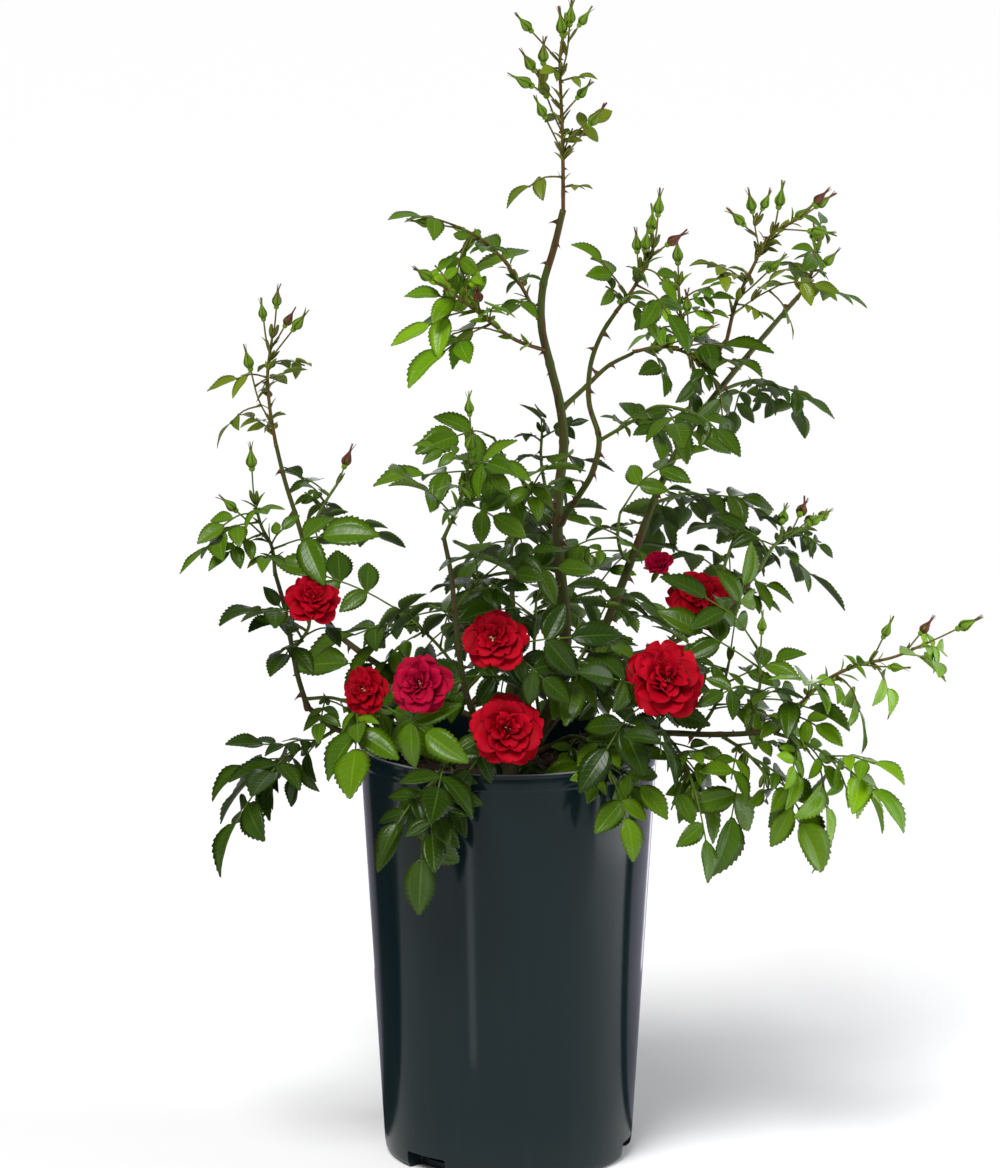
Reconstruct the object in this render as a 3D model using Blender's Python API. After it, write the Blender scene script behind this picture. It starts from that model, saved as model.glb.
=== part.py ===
"""A rose bush in a tall nursery pot, as separate named pieces.

Units are metres and +Z is up. The origin is the middle of the pot's flat underside,
and -Y is the front. Canes are tapering limbs that start 0.3 mm clear of what bears them.
Each spray is one fused piece: a three-sided stem that carries compound leaves, buds and
blooms, dealt out by a seeded rule and kept clear of every other piece.
"""

import math
from dataclasses import dataclass
from random import Random

import bmesh
import bpy
import numpy as np
from mathutils.bvhtree import BVHTree

# ---------------------------------------------------------------- driving sizes
GAP = 0.0003                 # clearance between neighbouring pieces

POT_HEIGHT = 0.252
POT_RIM_RADIUS = 0.0895
POT_FOOT_RADIUS = 0.0745
POT_WALL = 0.002
POT_COLLAR = 0.010           # height of the upright band under the rim
POT_COLLAR_STEP = 0.0007     # how far the band stands out of the taper
POT_CORNER = 0.005           # rounding of the foot's edge
POT_SEGMENTS = 36
HOLLOW_PHASE = math.pi / POT_SEGMENTS    # the hollow's corners fall between the outer ones

DRAIN_COUNT = 3
DRAIN_FIRST = 228            # azimuth of the first recess in the foot, in degrees
DRAIN_WIDTH = 0.030
DRAIN_HEIGHT = 0.011
DRAIN_DEPTH = 0.013
DRAIN_SLOT = (0.018, 0.005)  # width and height of the hole in the recess's back wall

SOIL_TOP = 0.228

FOOT = np.array((0.003, 0.0, SOIL_TOP + GAP))   # where the main cane leaves the soil
FLARE_RADIUS = 0.0085        # root flare at the soil
FLARE_HEIGHT = 0.014         # the flare fades over this height

ARC_STEPS = 24               # steps in which a limb's bend is worked out
TRUNK_SIDES = 8
LIMB_SIDES = 6
RING_SPACING = 0.024         # length of cane between two rings of corners

STEM_SIDES = 3
STEM_SPACING = 0.022         # length of spray stem between two rings
STEM_RADIUS = 0.0014
TIP_RADIUS = 0.0009
STALK_RADII = np.array((0.0004, 0.0009, 0.0008))   # a stalk's start is sunk in what bears it

LEAF_THICKNESS = 0.0007
LEAF_WIDTH = 0.74            # leaflet's width for its length
LEAF_WIDEST = 0.45           # where along its length it is widest
LEAF_DISH = 0.16             # rise of its edges for its half width
ROOT_SINK = 0.0005           # how deep an end organ is set in its stalk
PETIOLE = (0.50, 0.80)       # bare part of a leaf's stalk for the size of its end leaflet
END_STALK = 0.34             # stalk between the end leaflet and the first pair
PAIR_SPACING = 0.46          # and from one pair to the next
PAIR_SIZE = 0.86             # first pair's size for the end leaflet's
PAIR_SHRINK = 0.13           # what each further pair loses

BUD_LENGTH = 0.013
BUD_RADIUS = 0.0032

ROUND_SIDES = 12             # corners that stand for a round limb where its room is tested
CLEAR_STEP = 0.0001          # steps in which a limb's start is drawn back from its bearer
CLEAR_REACH = 0.03           # and the most that it is drawn back
WELD = 0.000001              # points nearer than this are one point
LIGHT = np.array((0.0, -0.45, 1.0))     # the blades turn this way, and out of the crown
BESIDE_STEMS = (0.31, 0.95, 0.05)       # directions from which a ring's corners are counted
BESIDE_BUDS = (0.31, 0.05, 0.95)
ATTEMPTS = 4                 # tries that an organ has to find room

SIDES = {"R": 0, "B": 90, "L": 180, "F": 270, "r": 315, "l": 225, "b": 45, "d": 135}


@dataclass
class Limb:
    """A cane: where it starts, the way it heads, its lean along its length, its size."""
    name: str
    bearer: str              # the limb it grows from, or "" for the soil
    at: float                # fraction of the bearer's length
    azimuth: float           # heading in degrees, anticlockwise from +X seen from above
    leans: tuple             # degrees from the vertical, evenly spaced along the limb
    length: float
    radius: float
    tip: float


@dataclass
class Spray:
    """One mass of foliage: a stem and what the rule sets on it.

    Each organ is a side and a kind. The sides are R, L, F and B for right, left, front
    and back, r and l for the front corners, b and d for the back corners, and U for the
    stem's own tip. The kinds are 3, 5 and 7 for a leaf of that many leaflets, b for a
    bud, c for a cluster of buds, t for a twig with a leaf and a bud, s for a twig with
    leaves, and f for a bloom.
    """
    name: str
    bearer: str
    at: float
    azimuth: float
    leans: tuple
    length: float
    organs: str
    seed: int
    leaf: float = 0.032      # length of an end leaflet
    bare: float = 0.22       # part of the stem that stays bare at its start
    blooms: tuple = ()       # diameters of its blooms, in order


LIMBS = (
    Limb("main_cane", "", 0, 0, (16, 35, 5, -7, -3, 10, -14, -14, 18, 11), 0.354, 0.0042, 0.0019),
    Limb("right_cane", "main_cane", 0.045, 30, (52, 27, 23, 45, 48), 0.332, 0.0031, 0.0014),
    Limb("left_cane", "main_cane", 0.075, 155, (79, 70, 65, 60, 9, 21, 13), 0.264, 0.0024, 0.0012),
    Limb("outer_cane", "main_cane", 0.03, 195, (58, 83, 84, 39), 0.140, 0.0022, 0.0016),
    Limb("front_cane", "main_cane", 0.055, 240, (60, 67, 18, 7, 24), 0.187, 0.0023, 0.0013),
    Limb("low_right_cane", "main_cane", 0.035, 340, (56, 81, 89, 78), 0.166, 0.0023, 0.0015),
    Limb("back_cane", "main_cane", 0.04, 95, (42, 34, 24), 0.130, 0.0024, 0.0014),
    Limb("inner_cane", "main_cane", 0.458, 305, (52, 39, 43, -40, 7, 36, 49), 0.164, 0.0020, 0.0012),
    Limb("cross_bough", "main_cane", 0.656, 50, (67, 62, 85), 0.073, 0.0016, 0.0011),
    Limb("upper_right_cane", "right_cane", 0.656, 5, (-6, 24, 46), 0.062, 0.0018, 0.0014),
    Limb("outer_top_cane", "outer_cane", 1, 235, (28, 12, 26), 0.091, 0.0016, 0.0012),
    Limb("bud_cane", "right_cane", 0.177, 5, (88, 74, 51, 34), 0.122, 0.0018, 0.0012),
)

SPRAYS = (
    Spray("top_spray", "main_cane", 1, 0, (0, -1, -4, 15), 0.112, "L3 R3 Lc Rc Lb Ub", 35, 0.022, 0.08),
    Spray("upper_left_spray", "main_cane", 0.798, 210, (24, 38, 71), 0.090,
          "b3 L3 l3 U3", 20, 0.032, 0.2),
    Spray("left_bud_spray", "main_cane", 0.759, 225, (78, 55, 59), 0.095,
          "B3 l3 L3 Fb Ub", 198, 0.035, 0.25),
    Spray("inner_spray", "inner_cane", 1, 355, (40, 19), 0.042, "L3 R3 Lb Rb Ub", 278, 0.029, 0.1),
    Spray("cross_spray", "cross_bough", 1, 345, (60, 100, 130), 0.050, "B3 L3 R3 U3", 37, 0.032, 0.1),
    Spray("lone_bud_spray", "upper_right_cane", 0.45, 150, (26, 2), 0.060, "L3 R3 Ub", 187, 0.022, 0.4),
    Spray("upper_right_spray", "upper_right_cane", 1, 340, (-3, 28, 23, 34, 79), 0.092,
          "Rs L3 Lc Rb Ub", 37, 0.023, 0.05),
    Spray("right_tip_spray", "right_cane", 1, 40, (50, 26, 7), 0.037, "R3 L3 F3 U3", 129, 0.024, 0.05),
    Spray("right_leaf_spray", "right_cane", 0.75, 50, (80, 88, 125), 0.063, "r3 R3 U3", 134, 0.030),
    Spray("fork_spray", "inner_cane", 0.42, 320, (65, 53, 106), 0.072, "R3 F3 U3", 351, 0.033),
    Spray("mid_left_spray", "main_cane", 0.477, 230, (53, 53, 32), 0.080, "R3 L5 F3 U3", 369, 0.042),
    Spray("mid_back_spray", "main_cane", 0.477, 120, (58, -15), 0.054, "R3 U3", 157, 0.024, 0.4),
    Spray("front_top_spray", "front_cane", 1, 320, (31, 23, 2), 0.059, "L3 R3 F3 Ub", 67, 0.036, 0.1),
    Spray("front_arch_spray", "front_cane", 0.75, 10, (40, 40, 85), 0.032, "L3 U3", 369, 0.042),
    Spray("left_top_spray", "left_cane", 1, 165, (12, 4, -14), 0.065,
          "Lt Rt L3 Lb Ub", 35, 0.028, 0.05),
    Spray("left_side_spray", "left_cane", 0.75, 50, (32, 51), 0.045, "R5 L3 Ub", 64, 0.028),
    Spray("outer_top_spray", "outer_top_cane", 1, 220, (-7, 35, 10), 0.045,
          "R3 L5 Ub", 153, 0.032, 0.08),
    Spray("outer_bloom_spray", "outer_top_cane", 0.42, 290, (61, 60, 5), 0.054,
          "Uf L3 R3", 348, 0.036, blooms=(0.032,)),
    Spray("inner_left_spray", "left_cane", 0.12, 155, (25, 27, 49, 56), 0.080,
          "L5 R3 F3 U5", 257, 0.044),
    Spray("left_rim_spray", "outer_top_cane", 0.04, 325, (69, 99, 80), 0.055, "B3 F3 U3", 186, 0.042),
    Spray("low_left_spray", "outer_cane", 0.83, 210, (120, 105, 124), 0.041, "B3 F3 U3", 48, 0.040),
    Spray("left_bloom_spray", "front_cane", 0.5, 220, (107, 72), 0.031,
          "Uf Lf B3", 19, 0.036, blooms=(0.037, 0.030)),
    Spray("centre_bloom_spray", "front_cane", 0.46, 300, (61, 31), 0.049,
          "Uf R3 L3", 258, 0.048, blooms=(0.037,)),
    Spray("front_bloom_spray", "main_cane", 0.067, 262, (74, 72), 0.096,
          "Uf L3 R3", 100, 0.037, 0.4, blooms=(0.042,)),
    Spray("front_left_spray", "front_cane", 0.17, 240, (66, 86, 108, 130, 150), 0.095,
          "F3 L3 U3", 1, 0.038, 0.5),
    Spray("front_right_spray", "low_right_cane", 0.08, 295, (56, 76, 98, 135), 0.085,
          "L3 R3 U3", 28, 0.035, 0.4),
    Spray("centre_spray", "main_cane", 0.106, 260, (25, 40, -10, -20), 0.086, "L5 R3 B3 U5", 373, 0.046),
    Spray("centre_right_spray", "main_cane", 0.194, 305, (52, 50, 23), 0.052, "R3 F3 U3", 130, 0.047),
    Spray("right_inner_spray", "right_cane", 0.38, 240, (75, 23, -28), 0.040, "L3 U5", 368, 0.037),
    Spray("right_bloom_spray", "low_right_cane", 0.5, 275, (63, 39), 0.064,
          "Uf L3 R3", 100, 0.053, blooms=(0.048,)),
    Spray("bloom_pair_spray", "bud_cane", 0.38, 340, (31, 43), 0.033,
          "Uf Lf R5", 162, 0.040, blooms=(0.040, 0.020)),
    Spray("bud_spray", "bud_cane", 1, 40, (30, 92), 0.044, "L3 Rb Lb Ub", 122, 0.025, 0.1),
    Spray("bud_leaf_spray", "bud_cane", 0.67, 65, (3, 43, 52), 0.065, "L3 B3 R5 U3", 29, 0.036),
    Spray("arch_spray", "low_right_cane", 1, 350, (35, 46, 79, 59), 0.105,
          "L3 R3 Lb F3 Ub", 12, 0.034, 0.15),
    Spray("low_right_spray", "low_right_cane", 0.96, 325, (96, 100, 118), 0.045, "B3 R3 U3", 24, 0.040),
    Spray("right_curl_spray", "low_right_cane", 0.88, 300, (14, 30, 5, -30), 0.056,
          "R3 L3 U3", 119, 0.041),
    Spray("right_arch_spray", "right_cane", 0.5, 50, (88, 85, 118), 0.054, "B3 R3 U5", 389, 0.042),
    Spray("hanging_right_spray", "low_right_cane", 0.75, 325, (100, 122, 139), 0.044,
          "L3 R3 U3", 352, 0.040),
    Spray("rim_right_spray", "low_right_cane", 0.54, 290, (96, 112, 140), 0.055,
          "R3 L3 U3", 392, 0.035),
    Spray("right_fill_spray", "low_right_cane", 0.67, 40, (55, 11), 0.050, "R3 L3 U5", 16, 0.036),
    Spray("back_top_spray", "back_cane", 1, 80, (30, 60), 0.050, "L3 R3 B3 U3", 34, 0.038, 0.1),
    Spray("back_left_spray", "back_cane", 0.5, 140, (62, 72, 84), 0.075, "R3 L3 B3 U3", 25, 0.039),
    Spray("back_right_spray", "back_cane", 0.6, 40, (60, 74, 88), 0.075, "L3 R3 B3 U3", 42, 0.039),
    Spray("back_low_spray", "back_cane", 0.3, 95, (76, 92, 118), 0.090, "L5 R5 U5", 8, 0.038, 0.45),
)


# ---------------------------------------------------------------- vectors and paths
def unit(vector):
    return vector / np.linalg.norm(vector)


def turned_about(vector, axis, degrees):
    """The vector turned about a unit axis."""
    angle = math.radians(degrees)
    return (vector * math.cos(angle) + np.cross(axis, vector) * math.sin(angle)
            + axis * np.dot(axis, vector) * (1 - math.cos(angle)))


def arc(start, azimuth, leans, length):
    """Points of a limb whose lean from the vertical changes evenly along its length."""
    along = (np.arange(ARC_STEPS) + 0.5) / ARC_STEPS
    lean = np.radians(np.interp(along, np.linspace(0, 1, len(leans)), leans))
    heading = math.radians(azimuth)
    way = np.stack([np.sin(lean) * math.cos(heading), np.sin(lean) * math.sin(heading), np.cos(lean)], 1)
    return np.vstack([start, start + np.cumsum(way * length / ARC_STEPS, axis=0)])


def travelled(points):
    """Distance along a path at each of its points."""
    return np.concatenate([[0], np.cumsum(np.linalg.norm(np.diff(points, axis=0), axis=1))])


def evenly(points, start, count):
    """The path from a distance along it to its end, as so many evenly spaced points."""
    distance = travelled(points)
    wanted = np.linspace(start, distance[-1], count)
    return np.stack([np.interp(wanted, distance, points[:, k]) for k in range(3)], 1)


def place_on(points, fraction):
    """Point and direction at a fraction of a path's length."""
    distance = travelled(points)
    wanted = fraction * distance[-1]
    point = np.array([np.interp(wanted, distance, points[:, k]) for k in range(3)])
    index = min(np.searchsorted(distance, wanted, side="right"), len(points) - 1)
    return point, unit(points[index] - points[index - 1])


# ---------------------------------------------------------------- simple closed solids
def tube(points, radii, sides):
    """Closed tube: a ring of corners round each point and a flat cap at each end."""
    tangents = np.gradient(points, axis=0)
    across = unit(np.cross(tangents[0], BESIDE_STEMS))
    corners = []
    for point, tangent, radius in zip(points, tangents, radii):
        tangent = unit(tangent)
        across = unit(across - tangent * np.dot(across, tangent))
        beside = np.cross(tangent, across)
        for turn in np.arange(sides) * math.tau / sides:
            corners.append(point + radius * (across * math.cos(turn) + beside * math.sin(turn)))
    faces = [tuple(range(sides))[::-1]]
    for ring in range(len(points) - 1):
        for side in range(sides):
            low = ring * sides + side
            low_next = ring * sides + (side + 1) % sides
            faces.append((low, low_next, low_next + sides, low + sides))
    faces.append(tuple(range((len(points) - 1) * sides, len(points) * sides)))
    return np.array(corners), faces


def leaf_solid(root, way, normal, length, extra=0.0):
    """Leaflet of eight faces: a blunt root, a fold along the midrib and a pointed end."""
    half_width = length * LEAF_WIDTH / 2 + extra
    half_thickness = LEAF_THICKNESS / 2 + extra
    side = np.cross(normal, way)
    middle = root + way * length * LEAF_WIDEST
    lift = normal * half_width * LEAF_DISH
    corners = np.array([
        root + normal * half_thickness,
        root - normal * half_thickness,
        middle + side * half_width + lift,
        middle - side * half_width + lift,
        middle + normal * half_thickness,
        root + way * (length + extra) - normal * (half_thickness + 0.04 * length),
    ])
    faces = [(0, 4, 2), (2, 4, 5), (5, 4, 3), (3, 4, 0), (0, 2, 1), (0, 1, 3), (1, 2, 5), (1, 5, 3)]
    return corners, faces


def turned_bud(root, way, profile, sides, scale=1.0):
    """Closed solid of revolution along a direction: its profile starts and ends on the axis."""
    across = unit(np.cross(way, BESIDE_BUDS))
    beside = np.cross(way, across)
    corners = [root + way * profile[0][0]]
    for height, radius in profile[1:-1]:
        for turn in np.arange(sides) * math.tau / sides:
            around = across * math.cos(turn) + beside * math.sin(turn)
            corners.append(root + way * height + around * radius * scale)
    corners.append(root + way * profile[-1][0])
    last = len(corners) - 1
    rings = len(profile) - 2
    faces = []
    for side in range(sides):
        after = (side + 1) % sides
        faces.append((0, 1 + after, 1 + side))
        for ring in range(rings - 1):
            low = 1 + ring * sides
            faces.append((low + side, low + after, low + after + sides, low + side + sides))
        top = 1 + (rings - 1) * sides
        faces.append((top + side, top + after, last))
    return np.array(corners), faces


def bud_solid(root, way, length, extra=0.0):
    """Pointed oval bud."""
    radius = BUD_RADIUS * length / BUD_LENGTH + extra
    profile = ((-ROOT_SINK, 0), (0.22 * length, radius), (0.52 * length, radius * 0.8), (length + extra, 0))
    return turned_bud(root, way, profile, 4)


def bloom_solid(root, way, diameter, extra=0.0):
    """Open bloom: a shallow cup, widest at half its height, dished round its middle."""
    radius = diameter / 2 + extra
    profile = ((-ROOT_SINK - extra, 0), (0.16 * radius, 0.60 * radius), (0.48 * radius, radius),
               (0.66 * radius, 0.70 * radius), (0.46 * radius + extra, 0))
    return turned_bud(root, way, profile, 8)


# ---------------------------------------------------------------- limbs
def beside_limb(points, radii, corners):
    """Least distance from the corners to a limb's surface, its rings taken as round."""
    least = math.inf
    for start, end, low, high in zip(points, points[1:], radii, radii[1:]):
        run = end - start
        share = np.clip((corners - start) @ run / (run @ run), 0, 1)
        distance = np.linalg.norm(corners - start - share[:, None] * run, axis=1)
        least = min(least, np.min(distance - (low + (high - low) * share)))
    return least


def grown_from(bearer, at, path, thick, thin, count):
    """Axis points and radii of a limb, its start trimmed to stand one gap clear of its bearer."""
    points, radii = bearer
    tip, tip_way = place_on(points, 1)
    child_radii = np.linspace(thick, thin, count)
    for distance in np.arange(0, CLEAR_REACH, CLEAR_STEP):
        child = evenly(path, distance, count)
        rings = tube(child, child_radii, ROUND_SIDES)[0]
        if at == 1:
            clearance = np.min((rings[:ROUND_SIDES] - tip) @ tip_way)
        else:
            clearance = beside_limb(points, radii, rings)
        if clearance >= GAP:
            return child, child_radii
    raise ValueError("a limb never leaves its bearer")


def limb_shapes():
    """Axis points and radii of every limb, by name."""
    shapes = {}
    for limb in LIMBS:
        if limb.name == "main_cane":
            path = arc(FOOT, limb.azimuth, limb.leans, limb.length)
            points = evenly(path, 0, round(limb.length / RING_SPACING) + 1)
            points = np.vstack([points[0], place_on(path, FLARE_HEIGHT / limb.length)[0], points[1:]])
            radii = np.interp(travelled(points), (0, limb.length), (limb.radius, limb.tip))
            radii[0] = FLARE_RADIUS
            radii[1] = limb.radius * 1.12
            shapes[limb.name] = (points, radii)
            continue
        bearer = shapes[limb.bearer]
        path = arc(place_on(bearer[0], limb.at)[0], limb.azimuth, limb.leans, limb.length)
        count = max(4, round(limb.length / RING_SPACING) + 1)
        shapes[limb.name] = grown_from(bearer, limb.at, path, limb.radius, limb.tip, count)
    return shapes


def limb_solid(shape):
    """A limb's tube. The main cane's first ring lies flat on the soil."""
    points, radii = shape
    on_soil = points[0][2] <= FOOT[2] + 1e-9
    corners, faces = tube(points, radii, TRUNK_SIDES if on_soil else LIMB_SIDES)
    if on_soil:
        corners[:TRUNK_SIDES, 2] = FOOT[2]
    return corners, faces


# ---------------------------------------------------------------- organs of a spray
def side_way(stem_way, side, opening, rng):
    """Direction that leaves the stem towards a named side, by so many degrees."""
    if side == "U":
        heading = rng.uniform(0, 360)
        opening = rng.uniform(0, 12)
    else:
        heading = SIDES[side] + rng.uniform(-32, 32)
    outward = np.array((math.cos(math.radians(heading)), math.sin(math.radians(heading)), 0.0))
    outward = outward - stem_way * np.dot(outward, stem_way)
    if np.linalg.norm(outward) < 0.35:
        outward = np.array((0, 0, 1.0)) - stem_way * stem_way[2]
    opening = math.radians(opening)
    return unit(stem_way * math.cos(opening) + unit(outward) * math.sin(opening))


def drooping(start, way, length, droop, count):
    """Points of a stalk that bends down by so many degrees over its length."""
    points = [start]
    for _ in range(count):
        level = unit(np.array((way[0], way[1], 0.0)) + 1e-6)
        lean = math.degrees(math.acos(np.clip(way[2], -1, 1)))
        lean = min(lean + droop / count, 172)
        way = level * math.sin(math.radians(lean)) + np.array((0, 0, math.cos(math.radians(lean))))
        points.append(points[-1] + way * length / count)
    return np.array(points)


def facing_light(way, root, roll):
    """Normal of a blade along a direction, facing the light and out of the crown, then rolled."""
    outward = np.array((root[0], root[1], 0.0)) / POT_RIM_RADIUS
    light = LIGHT + outward * min(1.0, 0.6 / max(np.linalg.norm(outward), 1e-6))
    normal = light - way * np.dot(light, way)
    return turned_about(unit(normal), way, roll)


def compound_leaf(base, way, count, size, rng):
    """A leaf: its drooping stalk, then the end leaflet and the pairs beside the stalk."""
    pairs = (count - 1) // 2
    spacing = PAIR_SPACING * size
    petiole = size * rng.uniform(*PETIOLE)
    length = petiole + spacing * (pairs - 1) + END_STALK * size
    points = drooping(base, way, length, rng.uniform(10, 60), 2)
    roll = rng.uniform(-28, 28)
    pieces = [("stalk", points, STALK_RADII)]
    end, end_way = place_on(points, 1)
    normal = facing_light(end_way, end, roll)
    pieces.append(("leaf", end - end_way * ROOT_SINK, end_way, normal, size))
    for pair in range(pairs):
        distance = length - END_STALK * size - pair * spacing
        root, root_way = place_on(points, distance / length)
        normal = facing_light(root_way, root, roll)
        share = PAIR_SIZE - PAIR_SHRINK * pair
        for hand in (1, -1):
            leaflet_way = turned_about(root_way, normal, hand * rng.uniform(52, 68))
            leaflet_way = unit(leaflet_way - normal * rng.uniform(0.05, 0.30))
            leaflet_normal = unit(normal - leaflet_way * np.dot(normal, leaflet_way))
            length_here = size * share * rng.uniform(0.92, 1.05)
            pieces.append(("leaf", root, leaflet_way, leaflet_normal, length_here))
    return pieces


def stalk_with(base, way, length, rng, bend=(-25, 5)):
    """A thin stalk that curls up a little, and its end."""
    points = drooping(base, way, length, rng.uniform(*bend), 2)
    end, end_way = place_on(points, 1)
    return [("stalk", points, STALK_RADII)], points, end, end_way


def bud(base, way, rng, length=None):
    """One bud on its stalk."""
    length = length or rng.uniform(0.010, 0.020)
    pieces, _, end, end_way = stalk_with(base, way, length, rng)
    pieces.append(("bud", end, end_way, BUD_LENGTH * rng.uniform(0.85, 1.1)))
    return pieces


def bud_cluster(base, way, rng):
    """A side shoot that ends in a bud, with one more bud on each side below it."""
    pieces, points, end, end_way = stalk_with(base, way, rng.uniform(0.026, 0.034), rng)
    pieces.append(("bud", end, end_way, BUD_LENGTH))
    for place, turn in ((0.45, 38), (0.72, -38)):
        root, root_way = place_on(points, place)
        branch = turned_about(root_way, unit(np.array((0.1, -1, 0.1))), turn + rng.uniform(-12, 12))
        pieces += bud(root, branch, rng, 0.010)
    return pieces


def leafy_twig(base, way, size, rng, with_bud):
    """A side twig with two small leaves, ending in a bud or in a third leaf."""
    pieces, points, end, end_way = stalk_with(base, way, rng.uniform(0.034, 0.046), rng, (-30, 20))
    for place, hand in ((0.4, 1), (0.75, -1)):
        root, root_way = place_on(points, place)
        branch = turned_about(root_way, unit(np.array((0.1, -1, 0.1))), hand * rng.uniform(35, 60))
        pieces += compound_leaf(root, branch, 3, size * 0.75, rng)
    if with_bud:
        pieces.append(("bud", end, end_way, BUD_LENGTH))
    else:
        pieces += compound_leaf(end - end_way * 0.001, end_way, 3, size * 0.85, rng)
    return pieces


def bloom(base, way, side, diameter, rng):
    """A bloom that faces out and up, on its stalk unless it ends the stem."""
    pieces = []
    end = base
    if side != "U":
        pieces, _, end, way = stalk_with(base, way, 0.5 * diameter + 0.024, rng)
    facing = unit(np.array((rng.uniform(-0.25, 0.25), -0.80, rng.uniform(0.35, 0.65))) + 0.3 * way)
    pieces.append(("bloom", end, facing, diameter))
    return pieces


def organ_pieces(stem, fraction, side, kind, spray, diameter, rng):
    """Everything that one organ is made of."""
    base, stem_way = place_on(stem, fraction)
    size = spray.leaf * (1.08 - 0.18 * fraction) * rng.uniform(0.88, 1.1)
    if kind in "357":
        way = side_way(stem_way, side, rng.uniform(42, 62), rng)
        return compound_leaf(base, way, int(kind), size, rng)
    way = side_way(stem_way, side, rng.uniform(26, 44) * (2 if kind == "f" else 1), rng)
    if kind == "b":
        return bud(base, way, rng)
    if kind == "c":
        return bud_cluster(base, way, rng)
    if kind == "f":
        return bloom(base, way, side, diameter, rng)
    return leafy_twig(base, way, size, rng, kind == "t")


def solid_of(piece, extra=0.0):
    """The closed solid of one piece, swollen by an extra thickness."""
    kind = piece[0]
    if kind in ("stem", "stalk"):
        return tube(piece[1], piece[2] + extra, STEM_SIDES)
    if kind == "leaf":
        return leaf_solid(*piece[1:], extra=extra)
    if kind == "bud":
        return bud_solid(*piece[1:], extra=extra)
    return bloom_solid(*piece[1:], extra=extra)


# ---------------------------------------------------------------- keeping clear
def search_tree(solids):
    """One search tree over many solids."""
    corners, faces, offset = [], [], 0
    for solid_corners, solid_faces in solids:
        corners.extend(map(tuple, solid_corners))
        faces.extend(tuple(index + offset for index in face) for face in solid_faces)
        offset += len(solid_corners)
    return BVHTree.FromPolygons(corners, faces, epsilon=0.0)


def outside_the_pot(corners):
    """True where no corner lies in the pot, its soil or the ground."""
    spread = np.hypot(corners[:, 0], corners[:, 1])
    in_pot = (spread < POT_RIM_RADIUS + 0.001) & (corners[:, 2] < POT_HEIGHT + 0.001)
    over_soil = (spread < POT_RIM_RADIUS - POT_WALL - 0.004) & (corners[:, 2] > SOIL_TOP + 0.001)
    hanging = spread > outer_radius(corners[:, 2]) + 0.0015
    return bool(np.all(~in_pot | over_soil | hanging) and np.all(corners[:, 2] > 0.02))


def filled_pot():
    """Outline of the pot with its soil, as a closed solid that the plant keeps clear of."""
    inner = outer_radius(SOIL_TOP) - POT_WALL
    rim = POT_RIM_RADIUS
    profile = ((0, 0), (0, POT_FOOT_RADIUS), (POT_HEIGHT - POT_COLLAR, rim), (POT_HEIGHT, rim),
               (POT_HEIGHT, rim - POT_WALL), (SOIL_TOP, inner), (SOIL_TOP, 0))
    return turned_bud(np.zeros(3), np.array((0, 0, 1.0)), profile, POT_SEGMENTS)


def fits(piece, others, own, stem_tree):
    """True where a piece touches no other spray, limb or pot and no leaf of its own spray."""
    solid = solid_of(piece, GAP)
    if not outside_the_pot(solid[0]):
        return False
    tree = search_tree([solid])
    if tree.overlap(others):
        return False
    if own and tree.overlap(own):
        return False
    return piece[0] != "leaf" or not tree.overlap(stem_tree)


def stem_shape(spray, limbs):
    """Axis points and radii of a spray's stem."""
    bearer = limbs[spray.bearer]
    path = arc(place_on(bearer[0], spray.at)[0], spray.azimuth, spray.leans, spray.length)
    count = max(4, round(spray.length / STEM_SPACING) + 1)
    return grown_from(bearer, spray.at, path, STEM_RADIUS, TIP_RADIUS, count)


def grow(spray, stem, others):
    """The stem and every organ of a spray that finds room, as pieces."""
    rng = Random(f"{spray.name} {spray.seed}")
    names = spray.organs.split()
    blooms = list(spray.blooms)
    stem_tree = search_tree([solid_of(("stem", *stem), GAP)])
    pieces = [("stem", *stem)]
    sites = sum(name[0] != "U" for name in names)
    for index, (side, kind) in enumerate(names):
        fraction = 1.0 if side == "U" else spray.bare + (0.96 - spray.bare) * (index + 0.5) / sites
        diameter = blooms.pop(0) if kind == "f" else 0
        own = search_tree([solid_of(piece) for piece in pieces[1:]]) if len(pieces) > 1 else None
        best = []
        for _ in range(ATTEMPTS):
            wanted = organ_pieces(stem[0], fraction, side, kind, spray, diameter, rng)
            kept = [piece for piece in wanted if fits(piece, others, own, stem_tree)]
            lost = [piece for piece in wanted if not any(piece is other for other in kept)]
            bare = all(piece[0] == "stalk" for piece in kept)
            if not bare and all(piece[0] == "leaf" for piece in lost) and len(kept) > len(best):
                best = kept
            if len(best) == len(wanted):
                break
        pieces += best
    return pieces


# ---------------------------------------------------------------- Blender objects
def material(name, colour, roughness, coat=0.0):
    """Principled material."""
    made = bpy.data.materials.new(name)
    made.use_nodes = True
    made.diffuse_color = (*colour, 1)
    shader = made.node_tree.nodes["Principled BSDF"]
    shader.inputs["Base Color"].default_value = (*colour, 1)
    shader.inputs["Roughness"].default_value = roughness
    shader.inputs["Coat Weight"].default_value = coat
    return made


def add_object(name, solid, look, collection=None):
    """Mesh object of a closed solid."""
    mesh = bpy.data.meshes.new(name)
    mesh.from_pydata([tuple(corner) for corner in solid[0]], [], solid[1])
    mesh.materials.append(look)
    made = bpy.data.objects.new(name, mesh)
    (collection or bpy.context.scene.collection).objects.link(made)
    return made


def smooth(thing, degrees=40):
    """Round pieces shade smooth, with edges sharper than an angle kept."""
    thing.data.shade_smooth()
    thing.data.set_sharp_from_angle(angle=math.radians(degrees))


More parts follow.
